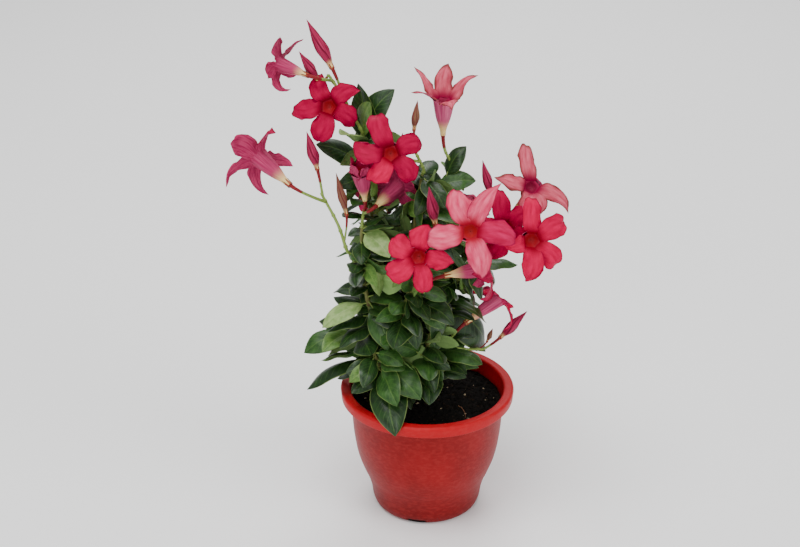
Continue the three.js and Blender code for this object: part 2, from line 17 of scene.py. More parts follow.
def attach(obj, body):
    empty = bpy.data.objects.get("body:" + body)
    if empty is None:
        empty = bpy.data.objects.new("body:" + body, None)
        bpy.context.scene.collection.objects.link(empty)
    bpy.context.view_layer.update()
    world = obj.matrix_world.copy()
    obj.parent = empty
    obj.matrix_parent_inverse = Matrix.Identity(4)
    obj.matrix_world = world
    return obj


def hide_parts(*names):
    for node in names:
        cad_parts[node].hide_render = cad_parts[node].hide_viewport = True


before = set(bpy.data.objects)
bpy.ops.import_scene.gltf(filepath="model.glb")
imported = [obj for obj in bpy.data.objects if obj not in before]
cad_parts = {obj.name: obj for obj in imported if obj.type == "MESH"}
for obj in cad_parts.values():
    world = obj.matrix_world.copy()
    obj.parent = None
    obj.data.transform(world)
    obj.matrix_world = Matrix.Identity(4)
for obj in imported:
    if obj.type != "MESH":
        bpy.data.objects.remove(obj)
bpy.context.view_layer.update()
MM = 0.001

# %% [markdown]
# ## The camera
# The photograph looks slightly down on the plant. A long lens far away keeps the pot's rim a calm ellipse,
# and the pitch is the angle that gives that ellipse its height. The camera is placed first, so that every
# later piece can be compared with the photograph.

# %% Camera at the photograph's view
CAMERA_PLACE = (-26.73, -1394.4, 922.13)
CAMERA_PITCH = 25.714
CAMERA_LENS = 73.27
SENSOR_WIDTH = 36


def put(name, data):
    """Puts an object with its data in the scene."""
    made = bpy.data.objects.new(name, data)
    bpy.context.scene.collection.objects.link(made)
    return made


camera_data = bpy.data.cameras.new("camera")
camera_data.sensor_width = SENSOR_WIDTH
camera_data.lens = CAMERA_LENS
camera = put("camera", camera_data)
camera.location = Vector(CAMERA_PLACE) * MM
camera.rotation_euler = (math.radians(90 - CAMERA_PITCH), 0, 0)
bpy.context.scene.camera = camera
print("camera lens:", CAMERA_LENS)

# %% [markdown]
# ## Floor and light
# A plain pale floor and large soft lights show the leaves' gloss without hard shadows. One big light from
# the upper left gives the form, weaker ones fill the front and the right, and one behind lights the floor
# there and puts a sheen on the leaves.

# %% Floor
FLOOR_SIZE = 14
FLOOR_PAINT = (0.95, 0.95, 0.95, 1)
FLOOR_ROUGHNESS = 0.9


def flat_floor(size):
    """A pale square with its middle under the plant."""
    mesh = bpy.data.meshes.new("floor")
    half = size / 2
    corners = [(-half, -half, 0), (half, -half, 0), (half, half, 0), (-half, half, 0)]
    mesh.from_pydata(corners, [], [(0, 1, 2, 3)])
    material = bpy.data.materials.new("pale_floor")
    material.use_nodes = True
    shader = material.node_tree.nodes["Principled BSDF"]
    shader.inputs["Base Color"].default_value = FLOOR_PAINT
    shader.inputs["Roughness"].default_value = FLOOR_ROUGHNESS
    mesh.materials.append(material)
    return put("floor", mesh)


flat_floor(FLOOR_SIZE)
print("floor size in metres:", FLOOR_SIZE)

# %% Lights
WORLD_LIGHT = 0.4
LIGHTS = {
    "top": {"place": (-0.5, -0.6, 2.4), "aim": (0, 0, 0.25), "size": 1.2, "watts": 46},
    "front": {"place": (-0.8, -2.4, 1.3), "aim": (0, 0, 0.25), "size": 1.0, "watts": 24},
    "fill": {"place": (2.0, -1.2, 1.3), "aim": (0, 0, 0.2), "size": 1.4, "watts": 25},
    "back": {"place": (0.2, 1.8, 2.2), "aim": (0, 1.1, 0), "size": 1.6, "watts": 44},
}
for name, light in LIGHTS.items():
    data = bpy.data.lights.new(name, "AREA")
    data.size = light["size"]
    data.energy = light["watts"]
    lamp = put(name, data)
    lamp.location = light["place"]
    aim = Vector(light["aim"]) - lamp.location
    lamp.rotation_euler = aim.to_track_quat("-Z", "Y").to_euler()

world = bpy.data.worlds.new("studio")
world.use_nodes = True
background = world.node_tree.nodes["Background"]
background.inputs["Color"].default_value = (1, 1, 1, 1)
background.inputs["Strength"].default_value = WORLD_LIGHT
bpy.context.scene.world = world
print("lights:", list(LIGHTS))

# %% [markdown]
# ## Lines to grow along
# Stems, stalks and the midribs of leaves all follow smooth lines. A line here is a row of points that can be
# walked by shares of its length, from 0 at its start to 1 at its end. Blender's curve objects could do this
# too, but plain arrays are quick, and thousands of small shapes need them.

# %% Directions, the seeded rule and rings
UP = np.array([0.0, 0.0, 1.0])
RULE_KEYS = (12.9898, 78.233, 37.719)
RULE_SCALE = 43758.5453


def unit(v):
    return v / np.linalg.norm(v, axis=-1, keepdims=True)


def facing(azimuth, lift):
    """Direction of an azimuth, 0 to the front and 90 to the right, and a lift above level."""
    turn, rise = math.radians(azimuth), math.radians(lift)
    return np.array([math.sin(turn) * math.cos(rise), -math.cos(turn) * math.cos(rise), math.sin(rise)])


def chance(a, b, c):
    """Seeded rule: the same three keys always give the same number from 0 to 1."""
    wave = math.sin(a * RULE_KEYS[0] + b * RULE_KEYS[1] + c * RULE_KEYS[2]) * RULE_SCALE
    return wave - math.floor(wave)


def between(low, high, a, b, c):
    return low + (high - low) * chance(a, b, c)


def mix(a, b, share):
    return a + (b - a) * share


def smooth_step(low, high, value):
    share = np.clip((value - low) / (high - low), 0, 1)
    return share * share * (3 - 2 * share)


def around(sides):
    """Angles of the points of a ring."""
    return np.arange(sides) / sides * 2 * math.pi


def turned(radius, turn, height):
    """Points at a radius, an angle and a height, as rows of x, y and z."""
    spots = np.broadcast_arrays(radius * np.cos(turn), radius * np.sin(turn), height)
    return np.stack(spots, axis=-1)


print("rule test:", round(chance(1, 2, 3), 6))

# %% Paths
HALF_STEP = 0.02


class Path:
    """A line through many points, walked by shares of its length."""

    def __init__(self, points):
        self.points = np.asarray(points, float)
        steps = np.linalg.norm(np.diff(self.points, axis=0), axis=1)
        self.walked = np.concatenate([[0], np.cumsum(steps)])
        self.length = self.walked[-1]

    def at(self, share):
        place = np.clip(share, 0, 1) * self.length
        return np.stack([np.interp(place, self.walked, self.points[:, k]) for k in range(3)], axis=-1)

    def along(self, share):
        share = np.asarray(share, float)
        return unit(self.at(share + HALF_STEP) - self.at(share - HALF_STEP))

    def part(self, first, last, count):
        """The stretch between two shares, as a path of its own."""
        return Path(self.at(np.linspace(first, last, count)))


def bezier(start, knee, end, steps=40):
    t = np.linspace(0, 1, steps + 1)[:, None]
    return Path((1 - t) ** 2 * start + 2 * t * (1 - t) * knee + t**2 * end)


def bend(start, heading, end):
    """Path that leaves a start along a heading and bends to an end."""
    return bezier(start, start + heading * np.linalg.norm(end - start) * 0.5, end)


def through(points, steps=12):
    """Smooth path through each of the points."""
    p = np.asarray(points, float)
    p = np.vstack([2 * p[0] - p[1], p, 2 * p[-1] - p[-2]])
    t = np.linspace(0, 1, steps + 1)[:, None]
    rows = []
    for a, b, c, d in zip(p, p[1:], p[2:], p[3:]):
        bent = (2 * a - 5 * b + 4 * c - d) * t**2 + (3 * b - a - 3 * c + d) * t**3
        rows.append(0.5 * (2 * b + (c - a) * t + bent))
    return Path(np.vstack([rows[0]] + [row[1:] for row in rows[1:]]))


print("length of a test path:", round(through([(0, 0, 0), (3, 0, 0), (3, 4, 0)]).length, 2))

# %% [markdown]
# ## Heaps
# A plant has hundreds of leaves of one kind. Made as one object each they would be slow, so a heap gathers
# the points and faces of many small grids and becomes one mesh in the end. Every grid also writes its place
# on a shared chart, a small UV map that all leaves use alike. A vein drawn on that chart is then a vein on
# each leaf.

# %% Heaps of grids
CHART = "OFBake"
WHOLE = (0, 0, 1, 1)


class Heap:
    """Gathers many small grids and turns them into one mesh object."""

    def __init__(self, name, finishes):
        self.name = name
        self.finishes = finishes
        self.points, self.faces, self.places, self.kinds = [], [], [], []
        self.count = 0

    def grid(self, points, kind=0, chart=WHOLE, closed=False, flip=False):
        """Adds faces between the points of a grid, an array of rows, columns and 3."""
        rows, columns = points.shape[:2]
        across = columns if closed else columns - 1
        row, column = (k.ravel() for k in np.meshgrid(np.arange(rows - 1), np.arange(across), indexing="ij"))
        corners = [(row, column), (row, column + 1), (row + 1, column + 1), (row + 1, column)]
        if flip:
            corners.reverse()
        faces = np.stack([r * columns + c % columns for r, c in corners], axis=1)
        u0, v0, u1, v1 = chart
        u = np.stack([mix(u0, u1, c / across) for _, c in corners], axis=1)
        v = np.stack([mix(v0, v1, r / (rows - 1)) for r, _ in corners], axis=1)
        self.points.append(points.reshape(-1, 3))
        self.faces.append(faces + self.count)
        self.places.append(np.stack([u, v], axis=-1))
        self.kinds.append(np.full(len(faces), kind))
        self.count += rows * columns

    def piece(self, slot, *nodes):
        """Makes the mesh object, which rides on the plant's one body and stands for the nodes."""
        mesh = bpy.data.meshes.new(self.name)
        faces = np.concatenate(self.faces)
        mesh.from_pydata((np.concatenate(self.points) * MM).tolist(), [], faces.tolist())
        mesh.uv_layers.new(name=CHART).data.foreach_set("uv", np.concatenate(self.places).ravel())
        mesh.polygons.foreach_set("material_index", np.concatenate(self.kinds).astype(np.int32))
        mesh.polygons.foreach_set("use_smooth", np.ones(len(faces), bool))
        for finish in self.finishes:
            mesh.materials.append(finish)
        mesh.update()
        piece = put(self.name, mesh)
        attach(piece, "root")
        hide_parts(*nodes)
        print(self.name, "triangles:", 2 * len(faces))


print("chart:", CHART)

# %% Stems as tubes
TUBE_END = 0.05


def tube(heap, path, radii, sides=8, steps=8, relief=None):
    """A tapering round stem along a path, with closed ends. Relief gives a share of radius to add."""
    shares = np.concatenate([[0], np.linspace(0, 1, steps + 1), [1]])
    radius = np.interp(shares, np.linspace(0, 1, len(radii)), radii)
    radius[[0, -1]] *= TUBE_END
    along = path.along(shares)
    reference = np.eye(3)[np.argmin(np.abs(path.at(1.0) - path.at(0.0)))]
    side = unit(np.cross(along, reference))
    top = np.cross(side, along)
    turn = around(sides)
    ring = side[:, None] * np.cos(turn)[None, :, None] + top[:, None] * np.sin(turn)[None, :, None]
    swell = 1 if relief is None else 1 + relief(shares[:, None], turn[None, :])
    heap.grid(path.at(shares)[:, None] + ring * (radius[:, None] * swell)[..., None], closed=True)


print("width of a closed end:", TUBE_END)

# %% [markdown]
# ## A finish kit
# Each surface gets a node material. Wiring nodes takes many lines, so a small class gives the wiring plain
# words: mix two colours, draw a soft step, add noise, raise a bump. Numbers that are the same all over a
# surface are set straight on the shader.

# %% Colours
def paint(red, green, blue):
    """A colour from its screen values of 0 to 255, as the linear values that shaders take."""
    share = np.array([red, green, blue]) / 255
    linear = np.where(share <= 0.04045, share / 12.92, ((share + 0.055) / 1.055) ** 2.4)
    return (*linear.tolist(), 1)


print("paint test:", [round(c, 3) for c in paint(220, 52, 52)])

# %% Finish kit
class Finish:
    """A material with short words for its nodes."""

    def __init__(self, name, roughness, gloss=0.2):
        self.material = bpy.data.materials.new(name)
        self.material.use_nodes = True
        self.tree = self.material.node_tree
        self.shader = self.tree.nodes["Principled BSDF"]
        self.shader.inputs["Roughness"].default_value = roughness
        self.shader.inputs["Specular IOR Level"].default_value = gloss

    def node(self, kind, inputs=(), **settings):
        made = self.tree.nodes.new(kind)
        for name, value in settings.items():
            setattr(made, name, value)
        for socket, value in inputs:
            self.feed(made.inputs[socket], value)
        return made

    def feed(self, socket, value):
        if isinstance(value, bpy.types.NodeSocket):
            self.tree.links.new(value, socket)
        else:
            socket.default_value = value

    def maths(self, operation, a, b=0.0):
        return self.node("ShaderNodeMath", [(0, a), (1, b)], operation=operation).outputs[0]

    def plus(self, a, b):
        return self.maths("ADD", a, b)

    def minus(self, a, b):
        return self.maths("SUBTRACT", a, b)

    def times(self, a, b):
        return self.maths("MULTIPLY", a, b)

    def away(self, value, middle):
        """How far a value is from a middle."""
        return self.maths("ABSOLUTE", self.minus(value, middle))

    def step(self, value, low, high):
        sockets = [("Value", value), ("From Min", low), ("From Max", high)]
        return self.node("ShaderNodeMapRange", sockets, interpolation_type="SMOOTHSTEP").outputs[0]

    def blend(self, share, a, b):
        made = self.node("ShaderNodeMix", data_type="RGBA")
        for socket, value in (("Factor_Float", share), ("A_Color", a), ("B_Color", b)):
            self.feed(next(s for s in made.inputs if s.identifier == socket), value)
        return next(s for s in made.outputs if s.identifier == "Result_Color")

    def tinge(self, share, most, a, b):
        """A blend that goes no further than the given share."""
        return self.blend(self.times(share, most), a, b)

    def place(self):
        """Where a point is on the object, in metres."""
        return self.node("ShaderNodeTexCoord").outputs["Object"]

    def chart(self, box=WHOLE):
        """Where a point is on its part of the chart: across and along, each from 0 to 1."""
        uv = self.node("ShaderNodeUVMap", uv_map=CHART).outputs[0]
        u, v, _ = self.node("ShaderNodeSeparateXYZ", [(0, uv)]).outputs
        u0, v0, u1, v1 = box
        across = self.maths("DIVIDE", self.minus(u, u0), u1 - u0)
        along = self.maths("DIVIDE", self.minus(v, v0), v1 - v0)
        return across, along

    def noise(self, place, scale, detail=3.0):
        sockets = [("Vector", place), ("Scale", scale), ("Detail", detail)]
        return self.node("ShaderNodeTexNoise", sockets).outputs[0]

    def streaks(self, across, along, fine, coarse):
        """Noise drawn out along a petal or a stem."""
        spot = [(0, self.times(across, fine)), (1, self.times(along, coarse))]
        return self.noise(self.node("ShaderNodeCombineXYZ", spot).outputs[0], 1.0)

    def bump(self, height, strength, distance):
        sockets = [("Height", height), ("Strength", strength), ("Distance", distance)]
        made = self.node("ShaderNodeBump", sockets)
        self.feed(self.shader.inputs["Normal"], made.outputs[0])

    def colour(self, value):
        self.feed(self.shader.inputs["Base Color"], value)
        return self.material


print("words of the kit:", [word for word in vars(Finish) if word[0] != "_"])

# %% [markdown]
# ## The pot
# A moulded nursery pot is one thin wall turned round an axis: a narrow foot, a belly that widens in two steps
# and a lip that rolls out and down. Spinning a profile is the right way to make it. The profile's points are
# the solid's, drawn smooth, and the lip's edges are small arcs so that they catch the light. The notches at
# the foot are shallow hollows, painted dark as the shade inside them. The paint also carries light: the lip
# is painted brighter, as if lit from above, and the belly darkens towards the foot as painted shade.

# %% Profile of the pot
POT_HEIGHT = 130
RIM_RADIUS = 85
LIP_WIDTH = 10
LIP_DROP = 11
LIP_THICKNESS = 2.5
POT_WALL = 2
POT_FLOOR = 6
POT_CENTRE = 0.05
POT_PROFILE = [
    (48, 0), (51.5, 3), (53.8, 9), (55.6, 20), (58.7, 31), (63.2, 42), (68.6, 58), (72.4, 80), (74.5, 106),
]


def arc(radius_at, height_at, radius, first, last, steps=6):
    """Rows of a small round in the profile."""
    turns = [math.radians(mix(first, last, i / steps)) for i in range(steps + 1)]
    return [(radius_at + radius * math.cos(t), height_at + radius * math.sin(t)) for t in turns]


def pot_rows():
    """Rows of the whole wall: underside, belly, lip, inside and floor."""
    belly = through([(r, 0, h) for r, h in POT_PROFILE], 6).points[:, [0, 2]]
    mouth = RIM_RADIUS - LIP_WIDTH
    under = POT_HEIGHT - LIP_THICKNESS
    skirt = POT_HEIGHT - LIP_DROP
    inside = [(r - POT_WALL, h) for r, h in belly[::-1] if h > POT_FLOOR + 1]
    lip = [(mouth + 0.6, under - 3), (mouth + 2, under), (RIM_RADIUS - LIP_THICKNESS - 1, under)]
    lip += [(RIM_RADIUS - LIP_THICKNESS - 0.4, skirt + 0.8)]
    lip += arc(RIM_RADIUS - 1.6, skirt + 0.9, 0.9, 200, 360, 5)
    lip += arc(RIM_RADIUS - 3, POT_HEIGHT - 3, 3, 8, 90)
    lip += arc(mouth + 2.4, POT_HEIGHT - 2.6, 2.6, 90, 180)
    floor = [(inside[-1][0] - 1, POT_FLOOR), (inside[-1][0] * 0.5, POT_FLOOR), (POT_CENTRE, POT_FLOOR)]
    return np.array([(POT_CENTRE, 0), (40, 0), *belly, *lip, *inside, *floor])


rows = pot_rows()
print("rows of the pot's wall:", len(rows))

# %% Finish of the pot
NOTCH = {"count": 4, "first": -12, "wide": 18, "high": 5, "back": 48.6}


def pot_finish():
    """Red plastic worn pale in patches; painted light on its lip, painted shade at its foot and notches."""
    finish = Finish("red_plastic", 0.42, gloss=0.14)
    place = finish.place()
    cloud = finish.noise(place, 22, 5)
    grain = finish.noise(place, 900, 2)
    squashed = finish.node("ShaderNodeMapping", [("Vector", place), ("Scale", (1, 1, 1.9))]).outputs[0]
    mottle = finish.noise(squashed, 210, 5)
    drawn_out = finish.node("ShaderNodeMapping", [("Vector", place), ("Scale", (1, 1, 0.3))]).outputs[0]
    scuff = finish.noise(drawn_out, 120, 4)
    body = finish.blend(finish.step(cloud, 0.3, 0.72), paint(124, 10, 14), paint(144, 17, 21))
    x, y, height = finish.node("ShaderNodeSeparateXYZ", [(0, place)]).outputs
    turn = finish.maths("ARCTAN2", x, finish.times(y, -1.0))
    turn = finish.minus(turn, math.radians(NOTCH["first"]))
    # Painted shade: a mask of the notches at the foot, whose hollows are painted dark.
    notch_shade = finish.maths("COSINE", finish.times(turn, NOTCH["count"]))
    notch_shade = finish.times(finish.step(notch_shade, 0.7, 0.78), finish.step(height, 0.0052, 0.0047))
    # Painted shade: the belly darkens towards the foot.
    body = finish.tinge(finish.step(height, 0.06, 0.0), 0.6, body, paint(96, 6, 10))
    # Painted light: the lip and the top of the belly are brighter, as if lit from above.
    colour = finish.blend(finish.step(height, 0.112, 0.121), body, paint(174, 12, 25))
    colour = finish.tinge(finish.step(mottle, 0.42, 0.68), 0.2, colour, paint(182, 54, 52))
    colour = finish.tinge(finish.step(scuff, 0.6, 0.8), 0.12, colour, paint(190, 74, 70))
    colour = finish.tinge(finish.step(grain, 0.62, 0.75), 0.12, colour, paint(120, 14, 18))
    # Painted shade: the hollow of each notch is near black.
    colour = finish.blend(notch_shade, colour, paint(20, 10, 10))
    roughness = finish.plus(finish.times(cloud, 0.2), 0.34)
    finish.feed(finish.shader.inputs["Roughness"], roughness)
    finish.bump(finish.plus(grain, finish.times(mottle, 2.0)), 0.2, 0.0005)
    return finish.colour(colour)


pot = Heap("pot", [pot_finish()])
print("notches:", NOTCH["count"])

# %% Spin the pot
POT_SIDES = 160
OUTSIDE_ROWS = 30
turn = around(POT_SIDES)
radius, height = rows[:, :1], rows[:, 1:]
wall = np.stack([radius * np.sin(turn), -radius * np.cos(turn), height + 0 * turn], axis=-1)
# Each notch is pushed in to a shallow hollow whose back wall carries painted shade.
low = (np.arange(len(rows)) < OUTSIDE_ROWS) & (rows[:, 1] < NOTCH["high"])
for i in range(NOTCH["count"]):
    middle = math.radians(NOTCH["first"] + i * 360 / NOTCH["count"])
    off = np.abs(np.angle(np.exp(1j * (turn - middle)))) * POT_PROFILE[0][0]
    sunk = np.where(off < NOTCH["wide"] / 2, np.minimum(1, NOTCH["back"] / radius[low]), 1)
    wall[low, :, :2] *= sunk[..., None]
pot.grid(wall, closed=True)
pot.piece("pot", "pot")

# %% [markdown]
# ## The soil
# Potting mix is dark and crumbly, with a few pale chips and fine roots on top. A flat disc with a bump would
# look like paint, so the top is a disc raised by noise. Loose crumbs of three sorts lie on it, each a small
# faceted lump half sunk in, because their edges break the light as real crumbs do.

# %% Level of the soil
SOIL_TOP = 118
SOIL_EDGE_DROP = 3
WALL_AT_SOIL = 72.0


def ripple(x, y, scale, layer):
    """Noise over the soil."""
    return noise.noise(Vector((x * scale, y * scale, layer)))


def soil_level(x, y):
    """Height of the soil at a place, lower at the wall, with soft mounds and small crumbs."""
    reach = math.hypot(x, y) / WALL_AT_SOIL
    mounds = ripple(x, y, 0.045, 3.1) * 2.4
    clods = ripple(x, y, 0.22, 7.7) * 1.3 + ripple(x, y, 0.6, 1.3) * 0.6
    return SOIL_TOP - SOIL_EDGE_DROP * reach**3 + mounds * (1 - reach**4) * 0.6 + clods


print("soil level in the middle:", round(soil_level(0, 0), 2))

# %% Bed of soil
SOIL_SIDES = 120
SOIL_RINGS = 46
SOIL_SKIRT = 12
SOIL_CENTRE = 0.02


def soil_finish(name, low, high, loose=True):
    """Dark crumbly mix. A loose crumb takes its grain from the chart, the bed below from its place."""
    finish = Finish(name, 0.95, gloss=0.08)
    crumbs = finish.streaks(*finish.chart(), 4, 4) if loose else finish.noise(finish.place(), 420, 6)
    finish.bump(crumbs, 0.9, 0.0015)
    return finish.colour(finish.blend(finish.step(crumbs, 0.35, 0.7), low, high))


top = np.zeros((SOIL_RINGS + 2, SOIL_SIDES, 3))
for ring in range(SOIL_RINGS + 1):
    radius = WALL_AT_SOIL * max(ring, SOIL_CENTRE) / SOIL_RINGS
    for k, angle in enumerate(around(SOIL_SIDES)):
        x, y = radius * math.sin(angle), -radius * math.cos(angle)
        top[ring, k] = (x, y, soil_level(x, y))
top[-1] = top[-2] * (1, 1, 0) + (0, 0, SOIL_TOP - SOIL_SKIRT)
soil = Heap("soil", [soil_finish("soil_bed", paint(9, 8, 7), paint(26, 22, 19), loose=False)])
soil.grid(top, closed=True, flip=True)
soil.piece("soil", "soil")

# %% Crumbs on the soil
CRUMB_CLEAR = 3
CRUMB_SUNK = 0.4
CRUMB_KEYS = 5000
CRUMBS = {"crumbs_dark": (1100, 1.0, 2.6), "crumbs_brown": (240, 0.9, 2.4), "crumbs_pale": (34, 0.7, 1.7)}
LUMP_POINTS = np.array([
    (0, 0, 1), (1, 0, 0.3), (0.3, 0.95, 0.3), (-0.8, 0.6, 0.3), (-0.8, -0.6, 0.3), (0.3, -0.95, 0.3),
])
SOIL_PAINTS = {
    "crumbs_dark": soil_finish("dark_crumb", paint(9, 8, 7), paint(26, 22, 19)),
    "crumbs_brown": soil_finish("brown_crumb", paint(26, 19, 14), paint(52, 40, 30)),
    "crumbs_pale": soil_finish("pale_chip", paint(150, 132, 104), paint(196, 180, 150)),
}


def lump(heap, place, size, key):
    """One crumb: a squat faceted lump, turned at random by the rule."""
    turn = between(0, 2 * math.pi, key, 1, 2)
    c, s = math.cos(turn), math.sin(turn)
    stretch = [between(0.7, 1.5, key, 2, 3), between(0.6, 1, key, 3, 4), between(0.45, 0.9, key, 4, 5)]
    x, y, z = (LUMP_POINTS * stretch * size).T
    ring = np.stack([x * c - y * s, x * s + y * c, z], axis=1) + place
    tip = np.repeat(ring[:1], 5, axis=0) + (ring[1:] - ring[:1]) * 0.15
    skirt = ring[1:] - (0, 0, size)
    heap.grid(np.stack([tip, ring[1:], skirt]), closed=True, flip=True)


for sort, (name, (count, small, large)) in enumerate(CRUMBS.items()):
    heap = Heap("soil_" + name, [SOIL_PAINTS[name]])
    for i in range(count):
        key = i + sort * CRUMB_KEYS
        radius = (WALL_AT_SOIL - CRUMB_CLEAR) * math.sqrt(chance(key, 6, 7))
        angle = between(0, 2 * math.pi, key, 8, 9)
        x, y = radius * math.sin(angle), radius * math.cos(angle)
        place = np.array([x, y, soil_level(x, y) - CRUMB_SUNK])
        lump(heap, place, between(small, large, key, 9, 10), key)
    heap.piece("soil", "soil")

# %% Fine roots on the soil
ROOTS = [
    ((18, -58), (34, -46), (58, -50)),
    ((6, -62), (20, -64), (38, -57)),
    ((30, -20), (38, -30), (36, -44)),
]
ROOT_RADII = (0.45, 0.35, 0.2)
ROOT_LIFT = 0.5
root_finish = Finish("fine_root", 0.8)
fibres = root_finish.streaks(*root_finish.chart(), 3, 30)
root_tint = root_finish.blend(fibres, paint(96, 62, 44), paint(150, 104, 74))
roots = Heap("soil_roots", [root_finish.colour(root_tint)])
for route in ROOTS:
    line = bezier(*np.array(route, float))
    laid = [(x, y, soil_level(x, y) + ROOT_LIFT) for x, y in line.points]
    tube(roots, Path(laid), ROOT_RADII, sides=5, steps=30)
roots.piece("soil", "soil")

# %% [markdown]
# ## Foot and boughs
# The stems of this shrub are thin and half woody: brown and furrowed at the foot, greener above. They are
# swept tubes whose ring is uneven. Furrows run along the stem and a slight collar marks each joint where a
# pair of leaves once stood. Relief in the mesh, not only in the finish, keeps the bark real from close by.

# %% Paths of the foot and boughs
GAP = 0.3
FOOT_PLACE = (-22.0, 2.0)
FOOT_BASE = np.array([*FOOT_PLACE, SOIL_TOP - 6])
FOOT_START = np.array([*FOOT_PLACE, SOIL_TOP + GAP])
FOOT_KNEE = np.array([*FOOT_PLACE, SOIL_TOP + 16])
FOOT_TOP = np.array([-25.0, -2.0, 156.0])
BOUGHS = {
    "bough_left": (0.66, (-56, -18, 226)),
    "bough_top_left": (0.7, (-50, 20, 268)),
    "bough_centre": (0.97, (-18, -2, 240)),
    "bough_right": (0.66, (12, -12, 224)),
    "bough_front": (0.64, (-22, -40, 226)),
    "bough_back": (0.68, (-26, 46, 240)),
    "bough_back_right": (0.8, (20, 32, 236)),
}
LIMB_KNEE = {"out": 0.62, "up": 0.3}
foot_path = bezier(FOOT_START, FOOT_KNEE, FOOT_TOP)


def from_foot(share, tip):
    """A limb that leaves the foot sets out level and turns up to its tip."""
    start, tip = foot_path.at(share), np.array(tip, float)
    knee = mix(start, tip, LIMB_KNEE["out"])
    knee[2] = mix(start[2], tip[2], LIMB_KNEE["up"])
    return bezier(start, knee, tip)


bough_paths = {name: from_foot(share, tip) for name, (share, tip) in BOUGHS.items()}
print("boughs:", len(bough_paths))

# %% Bark
def furrows(depth, joints, key, collar=0.14):
    """Bark relief: furrows along the stem and a collar at each joint."""

    def relief(share, turn):
        grooves = np.sin(turn * 3 + key + share * 5) * 0.5 + np.sin(turn * 7 - share * 9 + key * 2) * 0.5
        patches = np.sin(share * 61 + turn * 2 + key) * 0.4
        ring = np.exp(-(((share * joints) % 1 - 0.5) ** 2) / 0.006)
        return depth * (grooves + patches) + collar * ring

    return relief


def bark_finish():
    """Brown furrowed bark that turns green towards the tip of a limb."""
    finish = Finish("bark", 0.8)
    across, along = finish.chart()
    fibres = finish.streaks(across, along, 14, 26)
    patches = finish.streaks(across, along, 3, 9)
    green = finish.blend(fibres, paint(74, 84, 44), paint(104, 112, 62))
    brown = finish.blend(fibres, paint(58, 42, 30), paint(124, 98, 70))
    finish.bump(fibres, 0.6, 0.0006)
    share = finish.step(finish.plus(along, finish.times(patches, 0.5)), 0.75, 1.2)
    return finish.colour(finish.blend(share, brown, green))


limbs = Heap("foot_and_boughs", [bark_finish()])
print("bark:", limbs.name)

# %% Sweep the foot and boughs
FOOT_RADII = (12.5, 9.2, 7.4, 6.8, 6.4, 6.1, 5.8, 5.6)
BOUGH_RADII = (2.9, 2.5, 2.3, 2.1)
tube(limbs, bezier(FOOT_BASE, FOOT_KNEE, FOOT_TOP), FOOT_RADII, 28, 40, relief=furrows(0.07, 3, 0.4))
for key, path in enumerate(bough_paths.values()):
    tube(limbs, path, BOUGH_RADII, 12, 44, relief=furrows(0.05, 4, key))
limbs.piece("bark", "foot", *BOUGHS)

# %% [markdown]
# ## Leaders, shoots and twigs
# Each leaf mass of the source has a leader that grows on from a bough's tip or from the foot, and some have a
# flowering shoot that branches from the leader. The same rule is used here, with twice as many side twigs.
# The outer leaves, which set the outline, are listed one by one: the stem, the share of it where the leaf
# stands, the leaf's tip, the lean of its face and its sort, and for some leaves the height of their arch.

